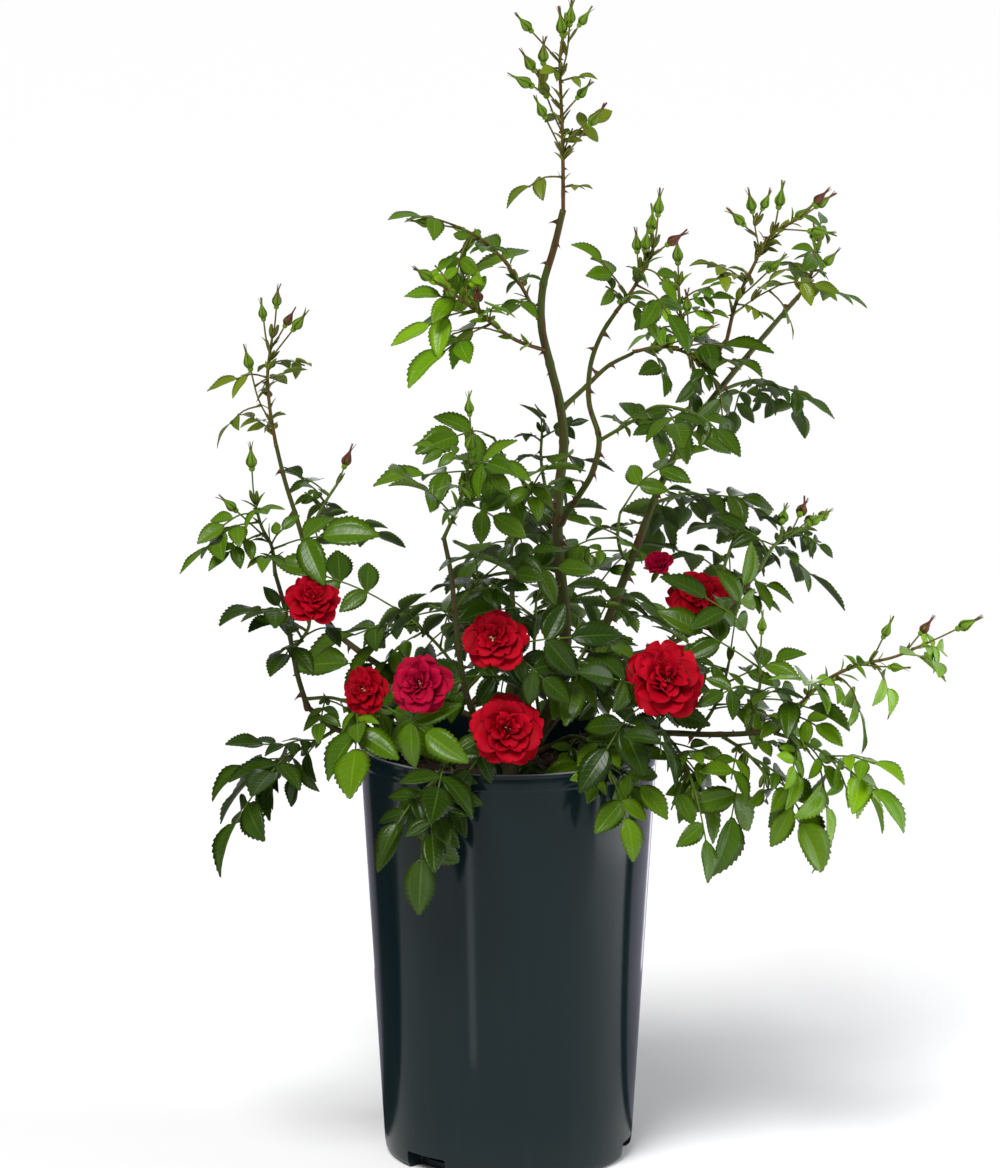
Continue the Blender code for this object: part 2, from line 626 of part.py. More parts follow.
def shells(bm):
    """The faces of a mesh, in groups that hang together."""
    bm.faces.ensure_lookup_table()
    left = set(bm.faces)
    groups = []
    while left:
        seed = left.pop()
        group, queue = [seed], [seed]
        while queue:
            for edge in queue.pop().edges:
                for face in edge.link_faces:
                    if face in left:
                        left.remove(face)
                        group.append(face)
                        queue.append(face)
        groups.append(group)
    return groups


def signed_volume(faces):
    """Volume inside a group of triangles, negative for a hollow."""
    total = 0.0
    for face in faces:
        first, second, third = (vert.co for vert in face.verts)
        total += first.dot(second.cross(third)) / 6
    return total


def one_body(mesh, split):
    """Keep the mesh's one body, its hollows filled and scraps dropped. True where it is closed."""
    bm = bmesh.new()
    bm.from_mesh(mesh)
    bmesh.ops.remove_doubles(bm, verts=bm.verts, dist=WELD)
    bmesh.ops.dissolve_degenerate(bm, edges=bm.edges, dist=WELD)
    bmesh.ops.triangulate(bm, faces=bm.faces, quad_method=split)
    groups = sorted(shells(bm), key=signed_volume)
    bmesh.ops.delete(bm, geom=[face for group in groups[:-1] for face in group], context="FACES")
    closed = all(len(edge.link_faces) == 2 for edge in bm.edges)
    bm.to_mesh(mesh)
    bm.free()
    return closed


def sunk(piece, axis):
    """The piece, its start drawn back into the stem where it goes on from the stem's tip."""
    if piece[0] != "stalk" or np.linalg.norm(piece[1][0] - axis[-1]) > WELD:
        return piece
    points = piece[1].copy()
    points[0] = axis[-1] - unit(axis[-1] - axis[-2]) * ROOT_SINK
    return ("stalk", points, piece[2])


def fused(name, pieces, look):
    """One object for a spray: its stem and organs joined by one Boolean union."""
    stem = add_object(name, solid_of(pieces[0]), look)
    organs = bpy.data.collections.new(name + "_organs")
    bpy.context.scene.collection.children.link(organs)
    for piece in pieces[1:]:
        add_object("organ", solid_of(sunk(piece, pieces[0][1])), look, organs)
    union = stem.modifiers.new("join", "BOOLEAN")
    union.operation = "UNION"
    union.operand_type = "COLLECTION"
    union.collection = organs
    for solver, split in (("EXACT", "BEAUTY"), ("EXACT", "ALTERNATE"), ("MANIFOLD", "BEAUTY")):
        union.solver = solver
        graph = bpy.context.evaluated_depsgraph_get()
        joined = bpy.data.meshes.new_from_object(stem.evaluated_get(graph))
        if one_body(joined, split):
            break
    stem.modifiers.clear()
    stem.data = joined
    for organ in list(organs.objects):
        bpy.data.objects.remove(organ)
    bpy.data.collections.remove(organs)
    smooth(stem)


# ---------------------------------------------------------------- pot and soil
def outer_radius(height):
    """Outer radius of the pot's taper at a height."""
    under_collar = POT_HEIGHT - POT_COLLAR
    top = POT_RIM_RADIUS - POT_COLLAR_STEP
    return POT_FOOT_RADIUS + (top - POT_FOOT_RADIUS) * np.clip(height / under_collar, 0, 1)


def turned(name, profile, look, phase=0.0):
    """Solid turned about Z from (radius, height) pairs that start and end on the axis."""
    points = [(radius * math.cos(phase), radius * math.sin(phase), height) for radius, height in profile]
    mesh = bpy.data.meshes.new(name)
    mesh.from_pydata(points, [(k, k + 1) for k in range(len(points) - 1)], [])
    bm = bmesh.new()
    bm.from_mesh(mesh)
    bmesh.ops.spin(bm, geom=bm.verts[:] + bm.edges[:], axis=(0, 0, 1), cent=(0, 0, 0),
                   angle=math.tau, steps=POT_SEGMENTS, use_merge=True)
    bmesh.ops.remove_doubles(bm, verts=bm.verts, dist=WELD)
    bmesh.ops.recalc_face_normals(bm, faces=bm.faces)
    bm.to_mesh(mesh)
    bm.free()
    mesh.materials.append(look)
    made = bpy.data.objects.new(name, mesh)
    bpy.context.scene.collection.objects.link(made)
    return made


def corner(radius, height, size, start, stop, steps=2):
    """Rounded corner about a centre, from one angle to another in degrees."""
    angles = np.radians(np.linspace(start, stop, steps + 1))
    return [(radius + size * math.cos(a), height + size * math.sin(a)) for a in angles]


def cavity_profile(clearance, top):
    """Profile of the pot's hollow, drawn in by a clearance."""
    wall = POT_WALL + clearance
    low = corner(outer_radius(POT_CORNER) - wall - POT_CORNER, wall + POT_CORNER, POT_CORNER, -90, 0)
    heights = sorted({min(top, POT_HEIGHT - POT_COLLAR), top})
    side = [(float(outer_radius(height)) - wall, height) for height in heights]
    return [(0, wall), *low, *side, (0, top)]


def cutter(name, size, azimuth, radius, height):
    """Box that cuts: its outward face stands beyond the pot, its inner face at a radius."""
    length, width, tall = size
    angle = math.radians(azimuth)
    bpy.ops.mesh.primitive_cube_add(size=1)
    box = bpy.context.object
    box.name = name
    box.data.transform(((length, 0, 0, 0), (0, width, 0, 0), (0, 0, tall, 0), (0, 0, 0, 1)))
    middle = radius + length / 2
    box.location = (middle * math.cos(angle), middle * math.sin(angle), height)
    box.rotation_euler = (0, 0, angle)
    box.hide_render = True
    box.display_type = "WIRE"
    return box


def cut(thing, tool):
    """Take a tool away from a thing, with a live Boolean."""
    modifier = thing.modifiers.new("cut", "BOOLEAN")
    modifier.operation = "DIFFERENCE"
    modifier.solver = "EXACT"
    modifier.object = tool


def recess(name, swell):
    """Cutters of the foot's recesses, swollen on every side by a wall."""
    back = POT_FOOT_RADIUS - DRAIN_DEPTH - swell
    tall = 2 * (DRAIN_HEIGHT + swell)
    size = (0.04, DRAIN_WIDTH + 2 * swell, tall)
    return [cutter(f"{name}_{k}", size, DRAIN_FIRST + k * 360 / DRAIN_COUNT, back, 0)
            for k in range(DRAIN_COUNT)]


def add_pot(plastic):
    """The pot: a tapering bucket with an upright rim band and three recesses in its foot."""
    band = POT_HEIGHT - POT_COLLAR
    profile = [(0, 0)]
    profile += corner(outer_radius(0) - POT_CORNER, POT_CORNER, POT_CORNER, -90, 0)
    profile += [(float(outer_radius(band)), band), (POT_RIM_RADIUS, band + POT_COLLAR_STEP)]
    profile += corner(POT_RIM_RADIUS - POT_WALL / 2, POT_HEIGHT - POT_WALL / 2, POT_WALL / 2, 0, 90)
    profile += [(0, POT_HEIGHT)]
    pot = turned("pot", profile, plastic)
    hollow = turned("hollow", cavity_profile(0, POT_HEIGHT + 0.01), plastic, HOLLOW_PHASE)
    hollow.hide_render = True
    hollow.display_type = "WIRE"
    for tool in recess("recess_wall", POT_WALL):
        cut(hollow, tool)
    cut(pot, hollow)
    for tool in recess("recess", 0):
        cut(pot, tool)
    for k in range(DRAIN_COUNT):
        width, tall = DRAIN_SLOT
        size = (3 * POT_WALL, width, tall)
        azimuth = DRAIN_FIRST + k * 360 / DRAIN_COUNT
        back = POT_FOOT_RADIUS - DRAIN_DEPTH - 2 * POT_WALL
        cut(pot, cutter(f"slot_{k}", size, azimuth, back, DRAIN_HEIGHT * 0.6))
    smooth(pot)


def add_soil(earth):
    """The compost that fills the pot to a little under its rim."""
    soil = turned("soil", cavity_profile(GAP, SOIL_TOP), earth, HOLLOW_PHASE)
    for tool in recess("recess_soil", POT_WALL + GAP):
        cut(soil, tool)
    smooth(soil)


# ---------------------------------------------------------------- the whole plant
def plan():
    """Limb shapes, and the pieces of every spray, each kept clear of the others.

    The sprays that bear blooms come first, so that their blooms find room.
    """
    limbs = limb_shapes()
    stems = {spray.name: stem_shape(spray, limbs) for spray in SPRAYS}
    solids = {"pot": [filled_pot()]}
    solids.update({name: [limb_solid(shape)] for name, shape in limbs.items()})
    solids.update({name: [solid_of(("stem", *stem))] for name, stem in stems.items()})
    masses = {}
    for spray in sorted(SPRAYS, key=lambda spray: not spray.blooms):
        neighbours = [group for name, group in solids.items() if name != spray.name]
        others = search_tree([solid for group in neighbours for solid in group])
        masses[spray.name] = grow(spray, stems[spray.name], others)
        solids[spray.name] = [solid_of(piece) for piece in masses[spray.name]]
    return limbs, masses


def main():
    for thing in list(bpy.data.objects):
        bpy.data.objects.remove(thing)
    plastic = material("dark_green_plastic", (0.018, 0.030, 0.033), 0.22, 0.4)
    earth = material("compost", (0.035, 0.022, 0.014), 0.95)
    bark = material("green_bark", (0.085, 0.075, 0.030), 0.6)
    foliage = material("rose_leaf", (0.045, 0.125, 0.022), 0.45)
    add_pot(plastic)
    add_soil(earth)
    limbs, masses = plan()
    for name, shape in limbs.items():
        smooth(add_object(name, limb_solid(shape), bark), 60)
    for name, pieces in masses.items():
        fused(name, pieces, foliage)


if __name__ == "__main__":
    main()
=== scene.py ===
# %% [markdown]
# # A rose bush in a nursery pot
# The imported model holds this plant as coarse, closed solids that a physics engine can handle.
# This script grows the same plant again by the same seeded rule, and carries each shoot on to
# serrate leaflets, ruffled petals, prickles and bark. Nothing moves and nothing changes size.

# %% The frame
import math
from dataclasses import dataclass
from random import Random

import bpy
import bmesh
import numpy as np
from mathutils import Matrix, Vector
from mathutils.bvhtree import BVHTree


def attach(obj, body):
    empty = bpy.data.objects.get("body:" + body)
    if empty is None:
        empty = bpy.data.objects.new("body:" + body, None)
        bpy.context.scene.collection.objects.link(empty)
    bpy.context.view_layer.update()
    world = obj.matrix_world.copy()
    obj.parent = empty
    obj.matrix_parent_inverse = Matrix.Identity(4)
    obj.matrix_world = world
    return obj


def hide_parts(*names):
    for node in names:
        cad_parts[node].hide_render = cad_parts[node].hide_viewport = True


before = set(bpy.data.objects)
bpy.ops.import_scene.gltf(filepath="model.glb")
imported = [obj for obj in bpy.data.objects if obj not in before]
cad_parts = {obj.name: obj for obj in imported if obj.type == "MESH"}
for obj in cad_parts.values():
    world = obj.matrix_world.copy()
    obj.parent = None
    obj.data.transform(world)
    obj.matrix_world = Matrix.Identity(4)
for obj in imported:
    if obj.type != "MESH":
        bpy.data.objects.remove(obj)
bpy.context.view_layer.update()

# %% [markdown]
# ## A short way to write materials
# A Blender material is a network of nodes. Wired by hand, a sum of two values takes four lines,
# so one small class wraps a socket and lets Python's own + - * add the Math nodes.

# %% Arithmetic on sockets
class Signal:
    """A socket that carries a number or a colour. Arithmetic on it adds Math nodes."""

    def __init__(self, finish, socket):
        self.finish = finish
        self.socket = socket

    def math(self, operation, *others, first=None):
        values = (self, *others) if first is None else (first, self)
        return self.finish.node("ShaderNodeMath", {"operation": operation}, dict(enumerate(values)))

    def __add__(self, other):
        return self.math("ADD", other)

    def __sub__(self, other):
        return self.math("SUBTRACT", other)

    def __mul__(self, other):
        return self.math("MULTIPLY", other)

    def __rsub__(self, other):
        return self.math("SUBTRACT", first=other)

    __radd__ = __add__
    __rmul__ = __mul__

    def between(self, low, high):
        """0 below low, 1 above high, and an even slope between them."""
        sockets = {0: self, 1: low, 2: high}
        return self.finish.node("ShaderNodeMapRange", {"clamp": True}, sockets)

# %% [markdown]
# A finish owns one material and its Principled shader. What is the same all over a piece is set
# on the shader's own sockets. What varies is a signal, and one method, `node`, makes any node.

# %% Building a finish
SPECULAR = 0.15  # a third of Blender's own value, because the skins of plants mirror little


class Finish:
    """A material being built. Its Principled shader takes plain values or signals."""

    def __init__(self, name, colour, roughness, specular=SPECULAR):
        self.material = bpy.data.materials.new(name)
        self.material.use_nodes = True
        self.material.diffuse_color = (*colour, 1)
        self.tree = self.material.node_tree
        self.shader = self.tree.nodes["Principled BSDF"]
        plain = {"Base Color": (*colour, 1), "Roughness": roughness, "Specular IOR Level": specular}
        self.set(self.shader, plain)

    def set(self, node, sockets):
        """Fill a node's sockets with plain values, or link signals to them."""
        for key, value in sockets.items():
            if isinstance(value, Signal):
                self.tree.links.new(value.socket, node.inputs[key])
            else:
                node.inputs[key].default_value = value

    def node(self, kind, options=None, sockets=None, output=0):
        """Add a node: its options first, such as a Math node's operation, and then its sockets."""
        made = self.tree.nodes.new(kind)
        for key, value in (options or {}).items():
            setattr(made, key, value)
        self.set(made, sockets or {})
        return Signal(self, made.outputs[output])

    def place(self, output="Object"):
        """The point on the object, in metres, which a pattern in space reads."""
        return self.node("ShaderNodeTexCoord", output=output)

    def noise(self, scale, detail=3.0, stretch=(1, 1, 1)):
        """Cloudy numbers round a half, so many clouds to the metre, stretched along each axis."""
        at = self.node("ShaderNodeMapping", {}, {0: self.place(), 3: stretch})
        return self.node("ShaderNodeTexNoise", {}, {"Vector": at, "Scale": scale, "Detail": detail})

    def tone(self):
        """The number that the mesh keeps at each of its points, such as a cane's age."""
        return self.node("ShaderNodeAttribute", {"attribute_name": "tone"}, output=2)

    def blade_place(self):
        """Where a point lies on its blade: 0 to 1 across, and 0 to 1 from its root to its tip."""
        place = self.node("ShaderNodeUVMap", {"uv_map": "place"})
        return [self.node("ShaderNodeSeparateXYZ", {}, {0: place}, output=k) for k in (0, 1)]

    def mix(self, share, first, second):
        """Two colours mixed by a share."""
        colours = {0: share}
        for index, colour in ((6, first), (7, second)):
            colours[index] = colour if isinstance(colour, Signal) else (*colour, 1)
        return self.node("ShaderNodeMix", {"data_type": "RGBA"}, colours, output=2)

    def paint(self, sockets):
        """Signals for the shader's own sockets."""
        self.set(self.shader, sockets)
        print(f"{self.material.name}: {len(self.tree.nodes)} nodes")

    def relief(self, height, depth):
        """Light and shade as if the surface rose by height times depth, in metres."""
        bump = self.node("ShaderNodeBump", {}, {"Height": height, "Distance": depth})
        self.set(self.shader, {"Normal": bump})

# %% [markdown]
# ## Gathering small surfaces
# A bush has hundreds of leaflets, and a mesh for each would choke the file. So all blades of one
# kind are worked out as one numpy array, and a heap joins them into one mesh. A blade is a thin
# closed shell: a front and a back that share their rim.

# %% Faces of a grid, a tube and a blade
def unit_all(vectors):
    """Vectors cut to length one."""
    return vectors / np.maximum(np.linalg.norm(vectors, axis=-1, keepdims=True), 1e-12)


def grid_faces(rows, columns, wrap=False, flip=False):
    """Four-sided faces between neighbouring points of a grid.

    They face the way of the row step crossed with the column step.
    """
    index = np.arange(rows * columns).reshape(rows, columns)
    if wrap:
        index = np.hstack([index, index[:, :1]])
    corners = (index[:-1, :-1], index[1:, :-1], index[1:, 1:], index[:-1, 1:])
    faces = np.stack(corners, -1).reshape(-1, 4)
    return faces[:, ::-1] if flip else faces


def tube_faces(rows, sides, flip=True):
    """A wrapped grid of rings with a flat cap on each end.

    It faces out where its rings run up the axis. A lid whose rings start in its middle isn't
    flipped.
    """
    ring = np.arange(sides)
    caps = np.stack([ring[::-1], ring + (rows - 1) * sides])
    return [(grid_faces(rows, sides, wrap=True, flip=flip), 0), (caps if flip else caps[:, ::-1], 0)]


def blade_faces(rows, columns):
    """Front and back of a blade, the first and the second finish of its piece.

    They share the rim, and the back's inner points come after all of the front's.
    """
    front = grid_faces(rows, columns)
    index = np.arange(rows * columns).reshape(rows, columns)
    inner = np.arange((rows - 2) * (columns - 2)).reshape(rows - 2, -1)
    index[1:-1, 1:-1] = rows * columns + inner
    return [(front, 0), (index.ravel()[front][:, ::-1], 1)]


print("faces of a tube of 4 rings:", sum(len(faces) for faces, _ in tube_faces(4, 6)))

# %% [markdown]
# A blade gets its thickness along its normals, the cross product of the step to the next row and
# the step to the next column. The rim stays where it is, so the shell thins out to its edge.

# %% Thickness of a blade
def blades(surface, thickness):
    """Points of thin shells round many surfaces at once.

    Each inner point moves by half the thickness along the normal, which is the row step crossed
    with the column step.
    """
    normal = unit_all(np.cross(np.gradient(surface, axis=1), np.gradient(surface, axis=2)))
    offset = normal[:, 1:-1, 1:-1] * thickness / 2
    front = surface.copy()
    front[:, 1:-1, 1:-1] += offset
    back = surface[:, 1:-1, 1:-1] - offset
    return np.concatenate([side.reshape(len(surface), -1, 3) for side in (front, back)], axis=1)


def blade_places(rows, columns):
    """Where each point of a blade lies: 0 to 1 across, and 0 to 1 from its root to its tip."""
    along, across = np.meshgrid(np.linspace(0, 1, rows), np.linspace(0, 1, columns), indexing="ij")
    both = np.stack([across, along], -1)
    return np.concatenate([both.reshape(-1, 2), both[1:-1, 1:-1].reshape(-1, 2)])


print("a blade of 9 rows and 3 columns has", len(blade_places(9, 3)), "points")

# %% [markdown]
# The heap joins its arrays once, at the end, and `foreach_set` hands each whole array to Blender
# in one call, which is far quicker than adding points one by one.

# %% A heap of surfaces
class Heap:
    """Copies of small surfaces, gathered into one mesh."""

    def __init__(self):
        self.points, self.faces, self.finishes, self.places, self.tones = [], [], [], [], []
        self.count = 0

    def add(self, points, faces, places=None, tones=0.0):
        """Copies in an array of copies, points and coordinates, which all have the same faces."""
        copies, size = points.shape[:2]
        starts = self.count + size * np.arange(copies)[:, None, None]
        for pattern, finish in faces:
            self.faces.append((pattern[None] + starts).reshape(-1, pattern.shape[1]))
            self.finishes.append(np.full(copies * len(pattern), finish))
        places = np.zeros((size, 2)) if places is None else places
        self.points.append(points.reshape(-1, 3))
        self.places.append(np.broadcast_to(places, (copies, size, 2)).reshape(-1, 2))
        self.tones.append(np.broadcast_to(tones, (copies, size)).reshape(-1))
        self.count += copies * size

    def add_tubes(self, rings, tones=0.0, flip=True):
        """Closed skins in an array of skins, rings, corners and coordinates."""
        copies, rows, sides = rings.shape[:3]
        self.add(rings.reshape(copies, -1, 3), tube_faces(rows, sides, flip), tones=tones)

    def add_blades(self, surfaces, thickness, tones, placed=True):
        """Thin shells round an array of blades, rows, columns and coordinates."""
        rows, columns = surfaces.shape[1:3]
        places = blade_places(rows, columns) if placed else None
        self.add(blades(surfaces, thickness), blade_faces(rows, columns), places, tones)

    def made(self, name, *finishes):
        """The heap as one object. Each point keeps its place on its blade and its tone."""
        points, places = np.vstack(self.points), np.vstack(self.places)
        corners = np.concatenate([faces.ravel() for faces in self.faces])
        sizes = np.concatenate([np.full(len(faces), faces.shape[1]) for faces in self.faces])
        mesh = bpy.data.meshes.new(name)
        mesh.vertices.add(len(points))
        mesh.loops.add(len(corners))
        mesh.polygons.add(len(sizes))
        for finish in finishes:
            mesh.materials.append(finish.material)
        whole = (
            (mesh.vertices, "co", points, np.float32),
            (mesh.loops, "vertex_index", corners, np.int32),
            (mesh.polygons, "loop_start", np.cumsum(sizes) - sizes, np.int32),
            (mesh.polygons, "material_index", np.concatenate(self.finishes), np.int32),
            (mesh.polygons, "use_smooth", np.ones(len(sizes)), bool),
        )
        for part, key, values, kind in whole:
            part.foreach_set(key, values.astype(kind).ravel())
        place = mesh.uv_layers.new(name="place")
        place.data.foreach_set("uv", places[corners].astype(np.float32).ravel())
        tone = mesh.attributes.new("tone", "FLOAT", "POINT")
        tone.data.foreach_set("value", np.concatenate(self.tones).astype(np.float32))
        mesh.update(calc_edges=True)
        mesh.validate()
        made = bpy.data.objects.new(name, mesh)
        bpy.context.scene.collection.objects.link(made)
        print(f"{name}: {int(np.sum(sizes - 2))} triangles")
        return made


def seat(piece, slot, *nodes):
    """The piece rides on the plant's one body and stands for these solids, which are hidden. The slot is not
    used.
    """
    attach(piece, "root")
    if nodes:
        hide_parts(*nodes)

# %% [markdown]
# ## The pot
# The real pot is moulded in dark plastic: a tall taper with an upright band under a rolled rim.
# Its outline is one profile, turned like clay on a wheel. All lengths are in metres.

# %% Sizes shared with the solids
POT_HEIGHT = 0.252
POT_RIM_RADIUS = 0.0895
POT_FOOT_RADIUS = 0.0745
POT_WALL = 0.002
POT_COLLAR = 0.010        # height of the band under the rim
POT_COLLAR_STEP = 0.0007  # how far the band stands out
POT_CORNER = 0.005        # rounding of the foot
SOIL_TOP = 0.228
TURN_STEPS = 180          # flats that stand for the pot's roundness
HIDDEN = 0.17             # the inside of the pot is made down to this height only


def outer_radius(height):
    """Radius of the pot's taper: it grows evenly from the foot to the band under the rim."""
    top = POT_RIM_RADIUS - POT_COLLAR_STEP
    share = np.clip(height / (POT_HEIGHT - POT_COLLAR), 0, 1)
    return POT_FOOT_RADIUS + (top - POT_FOOT_RADIUS) * share


def rounding(radius, height, size, start, stop, steps=6):
    """Points of a rounded corner: a centre plus its size in the direction of each angle."""
    angles = np.radians(np.linspace(start, stop, steps))
    return np.stack([radius + size * np.cos(angles), height + size * np.sin(angles)], 1)


def revolved(profile, steps=TURN_STEPS):
    """A profile turned about Z: each radius times the cosine and sine of the turn, at its height."""
    turn = np.arange(steps) * math.tau / steps
    radius, height = profile[:, :1], profile[:, 1:]
    return np.stack([radius * np.cos(turn), radius * np.sin(turn), height + 0 * turn], -1)

# %% [markdown]
# The profile's points are listed once, each piece of the outline on its own line.

# %% Turning the pot
def pot_profile():
    """Radius and height from the middle of the foot, up the outside, over the rim and down inside."""
    band, lip, dish = POT_HEIGHT - POT_COLLAR, 0.0011, 0.0008
    rise = np.linspace(POT_CORNER * 1.5, band - 0.0015, 40)
    inside = np.linspace(POT_HEIGHT - 0.003, HIDDEN, 12)
    return np.vstack([
        (0.0005, dish),                                  # the foot's middle stands clear
        (POT_FOOT_RADIUS - 0.016, dish),
        (POT_FOOT_RADIUS - 0.014, 0),                    # and its edge is what the pot stands on
        rounding(POT_FOOT_RADIUS - POT_CORNER, POT_CORNER, POT_CORNER, -88, -4, 8),
        np.stack([outer_radius(rise), rise], 1),         # the taper
        (outer_radius(band) + 0.00005, band - 0.0006),   # the step out to the band
        (POT_RIM_RADIUS - 0.0002, band + 0.0002),
        (POT_RIM_RADIUS, band + 0.0008),                 # the band
        (POT_RIM_RADIUS, POT_HEIGHT - 0.0034),
        (POT_RIM_RADIUS - 0.0003, POT_HEIGHT - 0.0028),  # a groove under the rolled rim
        rounding(POT_RIM_RADIUS - lip, POT_HEIGHT - lip, lip, -20, 175, 10),
        np.stack([outer_radius(inside) - POT_WALL, inside], 1),
    ])


turned_pot = revolved(pot_profile())
pot_heap = Heap()
pot_heap.add_tubes(turned_pot[None])  # its last ring is capped out of sight, under the compost
print("the pot has", len(turned_pot), "rings of", TURN_STEPS, "points")

# %% [markdown]
# The plastic is glossy but not a mirror: the mould leaves a fine orange-peel skin, handling leaves
# faint scuffs, and dust settles towards the foot. Each changes the roughness by a little.

# %% Finish of the plastic
plastic = Finish("dark_green_plastic", (0.005, 0.014, 0.017), 0.16, 0.18)
scuffs = plastic.noise(60, 4, (1, 1, 0.12)).between(0.52, 0.75)
level = plastic.node("ShaderNodeSeparateXYZ", {}, {0: plastic.place()}, output=2)
dust = level.between(0.04, 0.0)
rim_highlight = level.between(0.2511, 0.2519)  # the top of the rim, where a pale grey is painted as a highlight
dusty = plastic.mix(dust * 0.1 + scuffs * 0.05, (0.004, 0.012, 0.014), (0.060, 0.068, 0.070))
# The top of the rim takes a painted highlight: a pale grey mixed into the base colour.
plastic.paint({
    "Base Color": plastic.mix(rim_highlight, dusty, (0.24, 0.25, 0.26)),
    "Roughness": 0.12 + scuffs * 0.12 + dust * 0.2,
})
plastic.relief(plastic.noise(900, 2), 0.00002)
pot_shell = pot_heap.made("pot_shell", plastic)

# %% [markdown]
# Water leaves through recesses in the foot. A shape with a piece missing is hard to write as one
# surface, so a Boolean modifier takes boxes away from it. They are bevelled, because a mould
# makes no sharp edge.

# %% Cutting the recesses of the foot
DRAIN_COUNT = 3
DRAIN_FIRST = 228            # heading of the first recess, in degrees
DRAIN_WIDTH = 0.030
DRAIN_HEIGHT = 0.011
DRAIN_DEPTH = 0.013
DRAIN_SLOT = (0.018, 0.005)  # a slot goes deeper in the back of each recess
SHARP_FROM = 32              # edges that bend by more degrees than this stay sharp


def rounded_box(size, azimuth, radius, height):
    """A box with rounded edges whose inner face stands at a radius from the axis."""
    bpy.ops.mesh.primitive_cube_add(size=1)
    box = bpy.context.object
    angle = math.radians(azimuth)
    middle = radius + size[0] / 2
    box.scale = size
    box.rotation_euler = (0, 0, angle)
    box.location = (middle * math.cos(angle), middle * math.sin(angle), height)
    bpy.ops.object.transform_apply(location=True, rotation=True, scale=True)
    bevel = box.modifiers.new("rounding", "BEVEL")
    bevel.width = 0.0012
    bevel.segments = 3
    return box


def cut_away(piece, tools):
    """Take each tool away from the piece, and then remove the tool."""
    for tool in tools:
        cut = piece.modifiers.new("cut", "BOOLEAN")
        cut.operation = "DIFFERENCE"
        cut.object = tool
    graph = bpy.context.evaluated_depsgraph_get()
    mesh = bpy.data.meshes.new_from_object(piece.evaluated_get(graph))
    piece.modifiers.clear()
    piece.data = mesh
    for tool in tools:
        bpy.data.objects.remove(tool)
    mesh.shade_smooth()
    mesh.set_sharp_from_angle(angle=math.radians(SHARP_FROM))


recesses = []
for k in range(DRAIN_COUNT):
    azimuth = DRAIN_FIRST + k * 360 / DRAIN_COUNT
    back = POT_FOOT_RADIUS - DRAIN_DEPTH
    recesses.append(rounded_box((0.04, DRAIN_WIDTH, 2 * DRAIN_HEIGHT), azimuth, back, 0))
    recesses.append(rounded_box((0.012, *DRAIN_SLOT), azimuth, back - 0.008, DRAIN_HEIGHT * 0.6))
cut_away(pot_shell, recesses)
seat(pot_shell, "pot_plastic", "pot")
print("the pot has", len(pot_shell.data.polygons), "faces after", len(recesses), "cuts")

# %% [markdown]
# ## The compost
# Potting compost is a heap of crumbs. A polar grid, raised and lowered by a sum of soft bumps,
# gives the surface, and a few hundred crumbs lie scattered on it.

# %% The compost's surface
BUMPS = 260
BUMP_WIDTH = 0.006
BUMP_HEIGHT = 0.0022
GROUND_STEPS = 150   # points round the compost
GROUND_SAG = 0.0025  # how much lower it lies along the pot's wall
rng = np.random.default_rng(11)


def bumpy(points):
    """Height over the plane: a sum of round bumps, each falling off with the distance squared."""
    centres = rng.uniform(-POT_RIM_RADIUS, POT_RIM_RADIUS, (BUMPS, 2))
    heights = rng.uniform(-0.6, 1, BUMPS) * BUMP_HEIGHT
    widths = BUMP_WIDTH * rng.uniform(0.5, 1.4, BUMPS)
    gap = np.sum((points[..., None, :2] - centres) ** 2, axis=-1)
    return np.sum(heights * np.exp(-gap / widths ** 2), axis=-1)


wall = float(outer_radius(SOIL_TOP)) - POT_WALL - 0.0004
across = np.concatenate([[0.0005], np.linspace(0.003, wall, 46)])
surface = revolved(np.stack([across, np.full(len(across), SOIL_TOP)], 1), GROUND_STEPS)
inside = np.clip((wall - across) / 0.01, 0, 1)[:, None]
surface[..., 2] += bumpy(surface) - GROUND_SAG * (1 - inside)
side = revolved(np.array([(wall, SOIL_TOP - 0.006), (wall - 0.001, HIDDEN + 0.01)]), GROUND_STEPS)
compost_heap = Heap()
compost_heap.add_tubes(np.concatenate([surface, side])[None], flip=False)
print("relief of the compost in mm:", (np.ptp(surface[..., 2]) * 1000).round(1))

# %% [markdown]
# A crumb is Blender's smallest ball of triangles with each corner moved in or out. The same ball
# also makes the anthers later on.

# %% Crumbs that lie on the compost
bm = bmesh.new()
bmesh.ops.create_icosphere(bm, subdivisions=1, radius=1)
ball = np.array([vert.co for vert in bm.verts])
ball_faces = np.array([[vert.index for vert in face.verts] for face in bm.faces])
bm.free()


def crumbs(count, low, high):
    """Lumps on the compost: a ball with each corner moved in or out, squashed and set down."""
    spread = wall * 0.97 * np.sqrt(rng.uniform(0, 1, count))
    turn = rng.uniform(0, math.tau, count)
    size = rng.uniform(low, high, count) * rng.uniform(0.5, 1, count)
    lumps = ball * rng.uniform(0.65, 1.25, (count, len(ball), 1)) * rng.uniform(0.5, 1, (count, 1, 3))
    middles = np.stack([spread * np.cos(turn), spread * np.sin(turn), SOIL_TOP + size * 0.3], -1)
    return lumps * size[:, None, None] + middles[:, None]


compost_heap.add(crumbs(420, 0.0015, 0.0045), [(ball_faces, 0)], tones=0.6)
print("a crumb has", len(ball), "corners and", len(ball_faces), "faces")

# %% [markdown]
# Compost is matt and uneven: dark damp fibre, with a few pale flecks of bark. One cloudy noise
# gives both colour and relief, so that what stands up is also what is pale.

